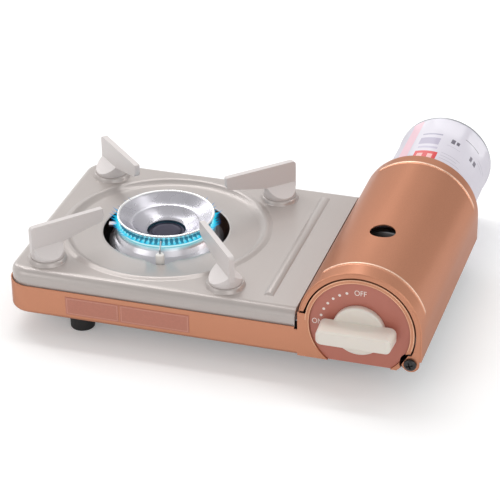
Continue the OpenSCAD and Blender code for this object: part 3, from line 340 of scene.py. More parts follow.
def canPrint(name):
    s = Surface(name, tinplate["ground"], tinplate["rough"])
    x, y, z = s.axes(canAxis)
    angle = s.math("MULTIPLY", s.math("ARCTAN2", x, z), 180 / math.pi)
    fromRear = s.math("SUBTRACT", canHigh.y - canAxis.y, y)
    slow = s.noise(tinplate["slow"], 2.0)
    shown = s.tint(slow, tinplate["tone"])
    for (a0, a1, y0, y1), tone in canMarks:
        mark = s.math("MULTIPLY", s.inside(angle, a0, a1), s.inside(fromRear, y0 * mm, y1 * mm))
        shown = s.mixColour(mark, shown, srgb(tone))
    seam = s.math("LESS_THAN", fromRear, tinplate["seamLong"])
    endRadius = canHigh.x - canAxis.x - tinplate["rimWide"]
    bare = s.math("MAXIMUM", seam, s.math("LESS_THAN", s.distance(x, z), endRadius))
    shown = s.mixColour(bare, shown, srgb(tinplate["bare"]))
    s.colour(s.mixColour(seam, shown, srgb(tinplate["seam"])))
    s.link(s.math("MULTIPLY", bare, tinplate["metal"]), s.shader.inputs["Metallic"])
    s.roughness(slow, tinplate["swing"])
    s.bump(s.noise(tinplate["dimples"], 2.0), tinplate["depth"])
    s.set("Coat Weight", tinplate["coat"])
    s.set("Coat Roughness", tinplate["coatRough"])
    return s.material


# Burning gas: light of the tone and cover that stops gives for each reach from the slot
def flameGas(name, strength, stops):
    made = bpy.data.materials.new(name)
    made.use_nodes = True
    gas = NodeTree(made.node_tree)
    gas.tree.nodes.clear()
    out = gas.node("ShaderNodeOutputMaterial")
    cover = gas.node("ShaderNodeMixShader")
    clear = gas.node("ShaderNodeBsdfTransparent")
    glow = gas.node("ShaderNodeEmission")
    glow.inputs["Strength"].default_value = strength
    reach = gas.node("ShaderNodeAttribute", attribute_name="reach").outputs["Fac"]
    shown = gas.ramp(reach, [(place, srgb(code)[:3] + (opaque,)) for place, code, opaque in stops])
    gas.link(shown["Color"], glow.inputs["Color"])
    gas.link(shown["Alpha"], cover.inputs["Fac"])
    gas.link(clear.outputs["BSDF"], cover.inputs[1])
    gas.link(glow.outputs["Emission"], cover.inputs[2])
    gas.link(cover.outputs["Shader"], out.inputs["Surface"])
    return made


jetTones = [
    (0.0, "b4f6ff", 0.75), (0.2, "35d3ee", 0.62), (0.55, "14b2e4", 0.42), (0.85, "2a86e0", 0.14),
    (1.0, "3a5cc8", 0.0),
]
slotTones = [(0.0, "4fc4dc", 1.0), (0.35, "b9f4fa", 1.0), (0.7, "62cbe2", 1.0), (1.0, "2c8fb4", 1.0)]
haloTones = [
    (0.0, "3f93b4", 0.24), (0.3, "3fa6c8", 0.33), (0.42, "6fdcee", 0.45), (0.5, "e6fcff", 0.78),
    (0.6, "9ff1fb", 0.33), (0.78, "6fe6f5", 0.11), (1.0, "59dcf0", 0.0),
]

finish = {
    "copper": paint(
        "copperPaint", "c5886b", 0.32, 0.62, flake=0.1, coat=0.2, rim="b08a76", beadHighlight="f8d8c1"),
    # Lighter copper for the lips: a painted highlight along the rounded edges
    "copper edge highlight": paint("copperEdgeHighlight", "e2b08f", 0.26, 0.7, flake=0.05, coat=0.2),
    "greige": paint("greigePaint", "bab2ae", 0.31, 0.3, flake=0.03, coat=0.1),
    "pale": paint("paleEnamel", "dad3d1", 0.32, 0.0, flake=0.02, peel=0.008 * mm),
    "rose": labelFilm("roseFilm", "bc7a67", "d39d8b"),
    "dial rose": moulded("dialFilm", "bb7262", 0.42, grain=900, depth=0.002 * mm),
    "white print": moulded("whitePrint", "f3e7df", 0.5, grain=800, depth=0.001 * mm),
    "cream": moulded("creamPlastic", "e9e1d7", 0.34, grain=240, tone=0.015, soft=0.05),
    "black plastic": moulded("blackPlastic", "1c1b1d", 0.5),
    "rubber": moulded("blackRubber", "19191a", 0.68, grain=500, depth=0.02 * mm, tone=0.2),
    "black screw": moulded("blackScrew", "141315", 0.25, grain=900, depth=0.001 * mm),
    "polished": spunMetal("polishedSteel", "d2d0d7", 0.27, fan=0.65, rolled=bowlRadius - 1.7 * mm),
    "cast": spunMetal("castZinc", "d9d7db", 0.32, pitch=0.8 * mm, depth=0.004 * mm, heat=0.12),
    "steel": metalSheet("zincPlate", "a3a5a8", 0.38, scale=90),
    "dark steel": metalSheet("heatedSteel", "59636c", 0.42, tone=0.2),
    "aluminium": metalSheet("rolledAluminium", "cfd1d3", 0.28, streak=(1, 40, 1)),
    "brass": metalSheet("brass", "c9a64e", 0.3),
    "core": metalSheet("burnerCore", "34313f", 0.34, tone=0.15),
    "ceramic": moulded("whiteCeramic", "f5f1ec", 0.2, grain=700, depth=0.002 * mm),
    "white plastic": moulded("whitePlastic", "e6e4e0", 0.45),
    "can": canPrint("printedCan"),
    "jet": flameGas("burningGas", 1.15, jetTones),
    "slot": flameGas("slotGas", 1.0, slotTones),
    "halo": flameGas("haloGas", 1.1, haloTones),
}

finishOf = {
    "copper": ["case", "cover", "cover_front_end", "cover_rear_end"],
    "greige": ["top_plate"],
    "pale": ["support_front_left", "support_front_right", "support_rear_left", "support_rear_right"],
    "rose": ["label_strip"],
    "dial rose": ["dial_plate"],
    "cream": ["knob"],
    "black plastic": ["igniter_body", "magnet_holder"],
    "rubber": ["igniter_lead", "inlet_seal", "foot_front_left", "foot_rear_left", "foot_front_right",
               "foot_rear_right"],
    "black screw": ["hinge_screws"],
    "polished": ["burner_bowl"],
    "cast": ["burner_base", "governor_body"],
    "steel": ["base_pan", "partition", "valve_spindle", "electrode_wire", "electrode_bracket",
              "burner_bracket", "burner_screws", "mixing_tube", "governor_cap", "governor_screws",
              "support_screws", "foot_screws", "case_screws", "plate_screws", "can_dome", "can_collar"],
    "dark steel": ["flame_ring", "magnet_ring"],
    "core": ["burner_core"],
    "aluminium": ["heat_panel"],
    "brass": ["nozzle", "igniter_plunger"],
    "ceramic": ["electrode_insulator"],
    "white plastic": ["igniter_cam", "can_stem"],
    "can": ["can_body"],
}

for finishName, names in finishOf.items():
    for nodeName in names:
        mesh = nodes[nodeName].data
        mesh.materials.clear()
        mesh.materials.append(finish[finishName])
print("finishes on", sum(len(n) for n in finishOf.values()), "nodes")


# Folded and pressed edges catch the light: the nodes' sharp edges get a small round, after points that
# lie together are joined and flat facets are dissolved
edgeRound = {
    "case": 0.3 * mm, "top_plate": 0.25 * mm, "cover_front_end": 0.25 * mm, "cover_rear_end": 0.25 * mm,
    "knob": 0.5 * mm, "support_front_left": 0.5 * mm, "support_front_right": 0.5 * mm,
    "support_rear_left": 0.5 * mm, "support_rear_right": 0.5 * mm, "electrode_insulator": 0.3 * mm,
}
rounding = {"segments": 2, "sharper": 40, "flat": 0.3, "joinBefore": 0.002 * mm, "joinAfter": 0.004 * mm}


# Joins points that lie closer than gap, which also clears slivers
def joinPoints(piece, gap):
    joined = piece.modifiers.new("join", "WELD")
    joined.merge_threshold = gap


def bevelEdges(piece, width):
    edge = piece.modifiers.new("edge", "BEVEL")
    edge.width = width
    edge.segments = rounding["segments"]
    edge.limit_method = "ANGLE"
    edge.angle_limit = math.radians(rounding["sharper"])
    edge.harden_normals = True


for nodeName, width in edgeRound.items():
    rounded = nodes[nodeName]
    joinPoints(rounded, rounding["joinBefore"])
    flat = rounded.modifiers.new("flat", "DECIMATE")
    flat.decimate_type = "DISSOLVE"
    flat.angle_limit = math.radians(rounding["flat"])
    bevelEdges(rounded, width)
    joinPoints(rounded, rounding["joinAfter"])
joinPoints(nodes["can_body"], rounding["joinAfter"])
print("edges rounded")


# A new piece that moves with body; its mesh is already in place
def addPiece(name, mesh, body, finishName=None):
    made = bpy.data.objects.new(name, mesh)
    bpy.context.scene.collection.objects.link(made)
    if finishName:
        mesh.materials.clear()
        mesh.materials.append(finish[finishName])
    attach(made, body)
    return made


def meshFrom(name, vertices, faces, sharp=180):
    mesh = bpy.data.meshes.new(name)
    mesh.from_pydata([tuple(v) for v in vertices], [], faces)
    mesh.validate()
    work = bmesh.new()
    work.from_mesh(mesh)
    bmesh.ops.recalc_face_normals(work, faces=work.faces)
    work.to_mesh(mesh)
    work.free()
    mesh.shade_smooth()
    if sharp < 180:
        mesh.set_sharp_from_angle(angle=math.radians(sharp))
    return mesh


# The plain mesh of source with the cutters taken out of it
def cutMesh(name, source, cutters):
    body = bpy.data.objects.new(name, source)
    bpy.context.scene.collection.objects.link(body)
    tools = []
    for cutter in cutters:
        tool = bpy.data.objects.new("cutter", cutter)
        bpy.context.scene.collection.objects.link(tool)
        step = body.modifiers.new("cut", "BOOLEAN")
        step.operation = "DIFFERENCE"
        step.solver = "EXACT"
        step.object = tool
        tools.append(tool)
    bpy.context.view_layer.update()
    depsgraph = bpy.context.evaluated_depsgraph_get()
    mesh = bpy.data.meshes.new_from_object(body.evaluated_get(depsgraph), depsgraph=depsgraph)
    for used in [body] + tools:
        bpy.data.objects.remove(used)
    mesh.name = name
    return mesh


def boxMesh(low, high):
    mesh = bpy.data.meshes.new("box")
    work = bmesh.new()
    bmesh.ops.create_cube(work, size=1)
    for vertex in work.verts:
        vertex.co = Vector([a + (b - a) * (t + 0.5) for a, b, t in zip(low, high, vertex.co)])
    work.to_mesh(mesh)
    work.free()
    return mesh


# Upright round bar from z0 to z1
def barMesh(x, y, radius, z0, z1, steps=96):
    mesh = bpy.data.meshes.new("bar")
    work = bmesh.new()
    bmesh.ops.create_cone(
        work, cap_ends=True, segments=steps, radius1=radius, radius2=radius, depth=z1 - z0)
    work.to_mesh(mesh)
    work.free()
    mesh.transform(Matrix.Translation((x, y, (z0 + z1) / 2)))
    return mesh


# Closed turned shape about a vertical axis at centre, from a closed outline of (radius, height)
def turnedMesh(name, outline, centre, steps=128, sharp=180):
    vertices = []
    faces = []
    count = len(outline)
    for i in range(steps):
        a = 2 * math.pi * i / steps
        for radius, height in outline:
            vertices.append((centre[0] + radius * math.cos(a), centre[1] + radius * math.sin(a), height))
    for i in range(steps):
        m = (i + 1) % steps
        for k in range(count):
            n = (k + 1) % count
            faces.append((i * count + k, m * count + k, m * count + n, i * count + n))
    return meshFrom(name, vertices, faces, sharp)


# Cover: one sheet bent over the can, with two pressed beads, rounded ends, a round hole and a notch
coverShape = {
    "thick": 0.8 * mm, "leftLow": 41.0 * mm, "rightLow": 24.4 * mm, "rightRows": (0.33, 0.66, 1.0),
    "axisZ": 42.2 * mm, "step": 2.0,
    "beadAt": (13.5 * mm, 157.8 * mm), "beadHeight": 0.78 * mm, "beadHalf": 2.1 * mm, "beadRows": 16,
    "beadSharp": 3, "beadAngles": (12.3, 135), "beadFade": 5.0, "endRound": 0.8 * mm, "endRows": 5,
    "holeAt": 58.2 * mm, "holeRadius": 8.5 * mm, "holeDeep": 30 * mm,
    "notchDepth": 1.4 * mm, "notchTop": 49.6 * mm, "notchWide": 1.8 * mm, "edge": 0.22 * mm,
}


# Points of the sheet's section, from the left foot over the arch to the right foot
def coverSection():
    radius = (coverHigh.x - coverLow.x) / 2
    middleX = (coverHigh.x + coverLow.x) / 2
    section = []
    for height in (coverShape["leftLow"], (coverShape["leftLow"] + coverShape["axisZ"]) / 2):
        section.append((coverLow.x, height, -1.0, 0.0, 180.0))
    count = int(180 / coverShape["step"])
    for i in range(count + 1):
        angle = 180 - i * coverShape["step"]
        nx, nz = math.cos(math.radians(angle)), math.sin(math.radians(angle))
        section.append((middleX + radius * nx, coverShape["axisZ"] + radius * nz, nx, nz, angle))
    for share in coverShape["rightRows"]:
        height = coverShape["axisZ"] + share * (coverShape["rightLow"] - coverShape["axisZ"])
        section.append((coverHigh.x, height, 1.0, 0.0, 0.0))
    return section


# Rows along the sheet: distance from the front, how far in from the outer face, and bead height
def coverRows():
    length = coverHigh.y - coverLow.y
    edge = coverShape["endRound"]
    rows = []
    for i in range(coverShape["endRows"]):
        t = math.pi / 2 * (1 - i / coverShape["endRows"])
        rows.append((edge * (1 - math.sin(t)), edge * (1 - math.cos(t)), 0.0))
    rows.append((edge, 0.0, 0.0))
    for at in coverShape["beadAt"]:
        for i in range(coverShape["beadRows"] + 1):
            u = 2 * i / coverShape["beadRows"] - 1
            rise = coverShape["beadHeight"] * (0.5 + 0.5 * math.cos(math.pi * u))
            rows.append((at + coverShape["beadHalf"] * u, 0.0, rise))
    rows.append((length - edge, 0.0, 0.0))
    for i in range(coverShape["endRows"]):
        t = math.pi / 2 * ((i + 1) / coverShape["endRows"])
        rows.append((length - edge * (1 - math.sin(t)), edge * (1 - math.cos(t)), 0.0))
    return rows


def coverMesh():
    section = coverSection()
    rows = coverRows()
    length = coverHigh.y - coverLow.y
    thick = coverShape["thick"]
    first, last = coverShape["beadAngles"]
    vertices = []
    beadHighlightMask = []
    for along, inward, rise in rows:
        for x, z, nx, nz, angle in section:
            near = min(angle - first, last - angle) / coverShape["beadFade"]
            share = max(0.0, min(1.0, near))
            raised = rise * share * share * (3 - 2 * share)
            out = raised - inward
            # Share of the painted highlight, highest on the bead's crest
            beadHighlightMask.append((raised / coverShape["beadHeight"]) ** coverShape["beadSharp"])
            vertices.append((x + nx * out, coverLow.y + along, z + nz * out))
    for along in (length, 0.0):
        for x, z, nx, nz, angle in section:
            vertices.append((x - nx * thick, coverLow.y + along, z - nz * thick))
            beadHighlightMask.append(0.0)
    wide = len(section)
    loops = len(rows) + 2
    faces = []
    for i in range(loops):
        j = (i + 1) % loops
        for k in range(wide - 1):
            faces.append((i * wide + k, i * wide + k + 1, j * wide + k + 1, j * wide + k))
    faces.append([i * wide for i in range(loops)])
    faces.append([i * wide + wide - 1 for i in reversed(range(loops))])
    mesh = meshFrom("cover_sheet", vertices, faces)
    mesh.attributes.new("beadHighlightMask", "FLOAT", "POINT").data.foreach_set("value", beadHighlightMask)
    return mesh


holeY = coverLow.y + coverShape["holeAt"]
holeFoot = coverHigh.z - coverShape["holeDeep"]
notchRight = coverLow.x + coverShape["notchWide"]
notchRear = coverLow.y + coverShape["notchDepth"]
coverCutters = [
    barMesh(canAxis.x, holeY, coverShape["holeRadius"], holeFoot, coverHigh.z + 2 * mm),
    boxMesh((coverLow.x - mm, coverLow.y - mm, coverShape["leftLow"] - mm),
            (notchRight, notchRear, coverShape["notchTop"])),
]
coverSheet = addPiece("cover_sheet", cutMesh("cover_sheet", coverMesh(), coverCutters), "lid", "copper")
coverSheet.data.set_sharp_from_angle(angle=math.radians(rounding["sharper"]))
bevelEdges(coverSheet, coverShape["edge"])
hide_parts("cover")
print("cover bent")


# Bowl: pressed and polished, with a rolled rim, a waist line and a centre hole. Points of its outline
# are a step outwards from the named radius and a depth below the rim's top, or a height above its foot.
bowlShape = {
    "waist": 23.2 * mm, "hole": 13.3 * mm, "steps": 160, "sharp": 35,
    "rim": 0.75 * mm, "rollRows": 10, "rollFrom": 150, "rollTurn": 200,
    "insideFoot": ((0.3 * mm, 1.0 * mm), (2 * mm, 1.95 * mm)),
    "insideWaist": ((-0.9 * mm, 7.75 * mm), (-0.45 * mm, 7.15 * mm), (0, 6.75 * mm),
                    (0.4 * mm, 6.7 * mm), (0.8 * mm, 6.6 * mm), (3 * mm, 4.55 * mm)),
    "insideRim": (-2.7 * mm, 1.7 * mm),
    "outsideRing": (0.4 * mm, 2.6 * mm), "ringSeat": (0.2 * mm, -1.6 * mm),
    "outsideWaist": ((1.2 * mm, 7.3 * mm), (0.2 * mm, 8.2 * mm)),
    "outsideFoot": ((1.5 * mm, 0.9 * mm), (0, 0), (-0.15 * mm, 0.5 * mm)),
}


def bowlOutline():
    top = bowlHigh.z
    rim = bowlShape["rim"]

    def below(radius, points):
        return [(radius + out, top - depth) for out, depth in points]

    def above(radius, points):
        return [(radius + out, bowlLow.z + height) for out, height in points]

    outline = above(bowlShape["hole"], bowlShape["insideFoot"])
    outline += below(bowlShape["waist"], bowlShape["insideWaist"])
    outline += below(bowlRadius, [bowlShape["insideRim"]])
    for i in range(bowlShape["rollRows"] + 1):
        a = math.radians(bowlShape["rollFrom"] - bowlShape["rollTurn"] * i / bowlShape["rollRows"])
        outline.append((bowlRadius - rim + rim * math.cos(a), top - rim + rim * math.sin(a)))
    outline += below(ringRadius, [bowlShape["outsideRing"]])
    outline += [(ringRadius + out, ringHigh.z) for out in bowlShape["ringSeat"]]
    outline += below(bowlShape["waist"], bowlShape["outsideWaist"])
    return outline + above(bowlShape["hole"], bowlShape["outsideFoot"])


spunBowl = turnedMesh("bowl", bowlOutline(), burnerAt, bowlShape["steps"], bowlShape["sharp"])
bowl = addPiece("bowl", spunBowl, "frame", "polished")
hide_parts("burner_bowl")
print("bowl spun")


# Hinge screws: domed heads with a cross recess, both in one piece
screwShape = {
    "head": 4.2 * mm, "rim": 0.8 * mm, "high": 2.6 * mm, "edge": 0.2 * mm,
    "shank": 2 * mm, "reach": 5 * mm,
    "slotWide": 0.9 * mm, "slotLong": 4.6 * mm, "slotDeep": 1.3 * mm, "turn": 20,
    "domeRows": 8, "steps": 48, "sharp": 35,
}
screwLow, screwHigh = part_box("hinge_screws")


# One screw with its head towards +Z
def screwMesh():
    head = screwShape["head"]
    high = screwShape["high"]
    edge = screwShape["edge"]
    shank = screwShape["shank"]
    reach = screwShape["reach"]
    outline = [(0.0, -reach), (shank, -reach), (shank, 0.0), (head - edge, 0.0), (head, edge)]
    for i in range(screwShape["domeRows"]):
        a = math.pi / 2 * i / screwShape["domeRows"]
        rise = (high - screwShape["rim"]) * math.sin(a)
        outline.append((head * math.cos(a), screwShape["rim"] + rise))
    outline.append((0.0, high))
    solid = turnedMesh("screw", outline, (0, 0), screwShape["steps"])
    work = bmesh.new()
    work.from_mesh(solid)
    bmesh.ops.remove_doubles(work, verts=work.verts, dist=0.001 * mm)     # the points on the axis
    bmesh.ops.recalc_face_normals(work, faces=work.faces)
    work.to_mesh(solid)
    work.free()
    half = screwShape["slotLong"] / 2
    thin = screwShape["slotWide"] / 2
    floorZ = high - screwShape["slotDeep"]
    return cutMesh("hinge_screw", solid, [
        boxMesh((-half, -thin, floorZ), (half, thin, 2 * high)),
        boxMesh((-thin, -half, floorZ), (thin, half, 2 * high)),
    ])


bothScrews = bmesh.new()
for side in (-1, 1):
    screw = screwMesh()
    y = screwLow.y + screwShape["high"] if side < 0 else screwHigh.y - screwShape["high"]
    place = Vector(((screwLow.x + screwHigh.x) / 2, y, (screwLow.z + screwHigh.z) / 2))
    faceOut = Matrix.Rotation(-side * math.pi / 2, 4, "X")
    slotTurn = Matrix.Rotation(math.radians(screwShape["turn"]), 4, "Z")
    screw.transform(Matrix.Translation(place) @ faceOut @ slotTurn)
    bothScrews.from_mesh(screw)
screwPair = bpy.data.meshes.new("screws_of_hinge")
bothScrews.to_mesh(screwPair)
bothScrews.free()
screwPair.set_sharp_from_angle(angle=math.radians(screwShape["sharp"]))
screws = addPiece("screws_of_hinge", screwPair, "frame", "black screw")
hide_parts("hinge_screws")
print("hinge screws cut")


# Lips: the rounded edges of the dial's recess and of the panel round it, in a lighter copper
# that is a painted highlight
lips = {
    "steps": 96, "sides": 10, "sharp": 60, "sunk": 0.6,
    "dialRadius": 33.75 * mm, "dialThick": 0.38 * mm, "dialFrom": -19, "dialTo": 212,
    "archRadius": 35.75 * mm, "archThick": 0.48 * mm, "archFrom": -17, "archTo": 178,
}


# Round rod of radius thick, bent about the can's axis, whose middle is sunk behind the panel's front
def lipMesh(name, radius, thick, first, last):
    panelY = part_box("case")[0].y
    vertices = []
    faces = []
    sides = lips["sides"]
    for i in range(lips["steps"] + 1):
        a = math.radians(first + (last - first) * i / lips["steps"])
        for k in range(sides):
            turn = 2 * math.pi * k / sides
            r = radius + thick * math.cos(turn)
            y = panelY + thick * lips["sunk"] + thick * math.sin(turn)
            vertices.append((canAxis.x + r * math.cos(a), y, canAxis.z + r * math.sin(a)))
    for i in range(lips["steps"]):
        for k in range(sides):
            m = (k + 1) % sides
            faces.append((i * sides + k, i * sides + m, (i + 1) * sides + m, (i + 1) * sides + k))
    faces.append(tuple(range(sides)))
    faces.append(tuple(lips["steps"] * sides + k for k in reversed(range(sides))))
    return meshFrom(name, vertices, faces, lips["sharp"])


for lipName in ("dial", "arch"):
    bent = lipMesh(lipName + "_lip", lips[lipName + "Radius"], lips[lipName + "Thick"],
                   lips[lipName + "From"], lips[lipName + "To"])
    lipPiece = addPiece(lipName + "_lip", bent, "frame", "copper edge highlight")
print("lips bent")


# Flames: one jet for each slot, and the glow in and under the slots
jet = {
    "length": 7.5 * mm, "width": 1.5 * mm, "rise": 3.4 * mm, "foot": 0.6, "taper": 0.6, "flat": 0.7,
    "sides": 6, "rings": 9, "count": 56, "from": 0.1 * mm, "smallest": 0.75, "largest": 1.15, "seed": 7,
}


# Geometry nodes: copies of one object on a ring about Z, each facing outwards
def ringTree(name):
    tree = bpy.data.node_groups.new(name, "GeometryNodeTree")
    kinds = {
        "Source": "Object", "Finish": "Material", "Count": "Int", "Radius": "Float", "Start": "Float",
        "Step": "Float", "Low": "Float", "High": "Float", "Seed": "Int",
    }
    for socketName, kind in kinds.items():
        tree.interface.new_socket(socketName, in_out="INPUT", socket_type="NodeSocket" + kind)
    tree.interface.new_socket("Geometry", in_out="OUTPUT", socket_type="NodeSocketGeometry")
    ring = NodeTree(tree)
    given = ring.node("NodeGroupInput").outputs
    result = ring.node("NodeGroupOutput")
    points = ring.node("GeometryNodePoints")
    ring.link(given["Count"], points.inputs["Count"])
    index = ring.node("GeometryNodeInputIndex").outputs[0]
    turn = ring.math("ADD", given["Start"], ring.math("MULTIPLY", index, given["Step"]))
    place = ring.node("ShaderNodeCombineXYZ")
    ring.link(ring.math("MULTIPLY", given["Radius"], ring.math("COSINE", turn)), place.inputs["X"])
    ring.link(ring.math("MULTIPLY", given["Radius"], ring.math("SINE", turn)), place.inputs["Y"])
    ring.link(place.outputs[0], points.inputs["Position"])
    angles = ring.node("ShaderNodeCombineXYZ")
    ring.link(turn, angles.inputs["Z"])
    size = ring.node("FunctionNodeRandomValue", data_type="FLOAT")
    ring.link(given["Low"], size.inputs[2])
    ring.link(given["High"], size.inputs[3])
    ring.link(given["Seed"], size.inputs["Seed"])
    source = ring.node("GeometryNodeObjectInfo")
    ring.link(given["Source"], source.inputs["Object"])
    copies = ring.node("GeometryNodeInstanceOnPoints")
    ring.link(points.outputs[0], copies.inputs["Points"])
    ring.link(source.outputs["Geometry"], copies.inputs["Instance"])
    ring.link(angles.outputs[0], copies.inputs["Rotation"])
    ring.link(size.outputs[1], copies.inputs["Scale"])
    real = ring.node("GeometryNodeRealizeInstances")
    ring.link(copies.outputs[0], real.inputs[0])
    painted = ring.node("GeometryNodeSetMaterial")
    ring.link(real.outputs[0], painted.inputs["Geometry"])
    ring.link(given["Finish"], painted.inputs["Material"])
    ring.link(painted.outputs[0], result.inputs["Geometry"])
    return tree


ringOf = ringTree("ringOfCopies")


# The plain mesh of copies of sourceMesh on a ring, put in place by a matrix
def copiesOnRing(sourceMesh, finishName, place, **values):
    source = bpy.data.objects.new("ringSource", sourceMesh)
    holder = bpy.data.objects.new("ringHolder", bpy.data.meshes.new("ringHolder"))
    bpy.context.scene.collection.objects.link(source)
    bpy.context.scene.collection.objects.link(holder)
    modifier = holder.modifiers.new("ring", "NODES")
    modifier.node_group = ringOf
    values.update(Source=source, Finish=finish[finishName])
    for item in ringOf.interface.items_tree:
        if item.item_type == "SOCKET" and item.in_out == "INPUT" and item.name in values:
            modifier[item.identifier] = values[item.name]
    bpy.context.view_layer.update()
    depsgraph = bpy.context.evaluated_depsgraph_get()
    shown = holder.evaluated_get(depsgraph)
    mesh = bpy.data.meshes.new_from_object(shown, preserve_all_data_layers=True, depsgraph=depsgraph)
    holder.modifiers.clear()
    bpy.data.objects.remove(holder)
    bpy.data.objects.remove(source)
    mesh.transform(place)
    return mesh


# Adds each vertex's reach, its share of the way from the slot to the tip
def withReach(mesh, reach):
    mesh.attributes.new("reach", "FLOAT", "POINT").data.foreach_set("value", reach)
    return mesh


# One jet along +X, closed at its foot and pointed at its tip
def jetMesh():
    vertices = []
    faces = [tuple(range(jet["sides"]))]
    reach = []
    sides = jet["sides"]
    for i in range(jet["rings"]):
        share = i / jet["rings"]
        swell = jet["foot"] + (1 - jet["foot"]) * math.sin(math.pi * min(share * 2, 1))
        radius = jet["width"] * (1 - share) ** jet["taper"] * swell
        for k in range(sides):
            a = 2 * math.pi * k / sides
            height = jet["rise"] * share * share + radius * math.sin(a)
            vertices.append((share * jet["length"], radius * math.cos(a) * jet["flat"], height))
            reach.append(share)
    vertices.append((jet["length"], 0.0, jet["rise"]))
    reach.append(1.0)
    tip = len(vertices) - 1
    for i in range(jet["rings"] - 1):
        for k in range(sides):
            m = (k + 1) % sides
            faces.append((i * sides + k, i * sides + m, (i + 1) * sides + m, (i + 1) * sides + k))
    for k in range(sides):
        faces.append((tip - sides + k, tip - sides + (k + 1) % sides, tip))
    return withReach(meshFrom("jet", vertices, faces), reach)


# Thin closed band about the burner's axis, from (radius, height, reach) points down its outer side
def bandMesh(name, profile, thick, steps=112):
    outline = profile + [(radius - thick, height, share) for radius, height, share in reversed(profile)]
    mesh = turnedMesh(name, [(radius, height) for radius, height, share in outline], burnerAt, steps)
    return withReach(mesh, [share for radius, height, share in outline] * steps)


slotZ = (ringLow.z + ringHigh.z) / 2
jets = copiesOnRing(
    jetMesh(), "jet", Matrix.Translation((burnerAt.x, burnerAt.y, slotZ)),
    Count=jet["count"], Radius=ringRadius + jet["from"], Start=math.pi / jet["count"],
    Step=2 * math.pi / jet["count"], Low=jet["smallest"], High=jet["largest"], Seed=jet["seed"])
addPiece("flame_jets", jets, "frame")
# Gas that fills the slots, in rows of (height, reach), and the light round them, whose rows start with a
# step out from the ring
slotGas = {
    "rows": ((ringLow.z + 1.3 * mm, 0.0), (slotZ, 0.5), (ringHigh.z - 0.1 * mm, 1.0)),
    "in": 1.3 * mm, "thick": 0.2 * mm,
}
haloGas = {
    "rows": (
        (0.25 * mm, ringHigh.z - 0.2 * mm, 0.0), (0.35 * mm, ringLow.z + 1.7 * mm, 0.3),
        (0.6 * mm, ringLow.z + 1.1 * mm, 0.42), (0.9 * mm, ringLow.z + 0.7 * mm, 0.5),
        (1.3 * mm, ringLow.z + 0.2 * mm, 0.6), (2.0 * mm, ringLow.z - 0.9 * mm, 0.78),
        (3.0 * mm, ringLow.z - 2.4 * mm, 1.0),
    ),
    "thick": 0.05 * mm,
}
glowRows = [(ringRadius - slotGas["in"], height, share) for height, share in slotGas["rows"]]
addPiece("flame_glow", bandMesh("glow", glowRows, slotGas["thick"]), "frame", "slot")
haloRows = [(ringRadius + out, height, share) for out, height, share in haloGas["rows"]]
addPiece("flame_halo", bandMesh("halo", haloRows, haloGas["thick"]), "frame", "halo")
print("flames lit")


# Dial: dots on an arc and two plain words
dial = {
    "dots": 6, "dotRadius": 1.0 * mm, "dotTaper": 0.9, "dotSides": 20, "thick": 0.06 * mm,
    "ring": 26.2 * mm, "first": 109.3, "step": 11.5,
    "letterHigh": 5.4 * mm, "letterNarrow": 0.86,
    "words": (("OFF", 25.8 * mm, 89.5), ("ON", 28.0 * mm, 178)),
}


def dotMesh():
    mesh = bpy.data.meshes.new("dot")
    work = bmesh.new()
    bmesh.ops.create_cone(
        work, cap_ends=True, segments=dial["dotSides"], radius1=dial["dotRadius"],
        radius2=dial["dotRadius"] * dial["dotTaper"], depth=dial["thick"])
    work.to_mesh(mesh)
    work.free()
    return mesh


# Turns a flat design in X and Y to stand on the dial, readable from the front
toDial = Matrix.Translation((canAxis.x, dialFront, canAxis.z)) @ Matrix.Rotation(math.pi / 2, 4, "X")
dots = copiesOnRing(
    dotMesh(), "white print", toDial,
    Count=dial["dots"], Radius=dial["ring"], Start=math.radians(dial["first"]),
    Step=math.radians(dial["step"]), Low=1.0, High=1.0, Seed=0)
addPiece("dial_dots", dots, "frame")


def wordMesh(text, x, y):
    curve = bpy.data.curves.new("word", "FONT")
    curve.body = text
    curve.size = dial["letterHigh"]
    curve.align_x = "CENTER"
    curve.align_y = "CENTER"
    curve.extrude = dial["thick"]
    made = bpy.data.objects.new("word", curve)
    bpy.context.scene.collection.objects.link(made)
    bpy.context.view_layer.update()
    depsgraph = bpy.context.evaluated_depsgraph_get()
    mesh = bpy.data.meshes.new_from_object(made.evaluated_get(depsgraph), depsgraph=depsgraph)
    bpy.data.objects.remove(made)
    narrow = Matrix.Diagonal((dial["letterNarrow"], 1, 1, 1))
    mesh.transform(toDial @ Matrix.Translation((x, y, 0)) @ narrow)
    return mesh


for word, radius, angle in dial["words"]:
    x = radius * math.cos(math.radians(angle))
    y = radius * math.sin(math.radians(angle))
    addPiece("dial_" + word.lower(), wordMesh(word, x, y), "frame", "white print")
print("dial printed")


# Stage: a pale floor that keeps the shadow, and a white room. Rays that mirror the room see its ceiling
# get greyer with height, and glossy rays also meet a grey screen, so that round metal shows its form.
stage = {
    "floor": 12, "tone": "f2f2f2", "rough": 0.9, "grain": 60, "relief": 0.01 * mm, "lift": 0.18,
    "room": 1.0, "roomForLight": 0.57,
    "ceiling": ((0.0, 1.0), (0.3, 1.0), (0.52, 0.86), (0.75, 0.5), (1.0, 0.62)),
    "screen": (0.55, 0.8, 0.22), "screenEdge": (0.84, 0.96), "screenGrey": 0.4,
}


def greyTone(level):
    return (level, level, level, 1)


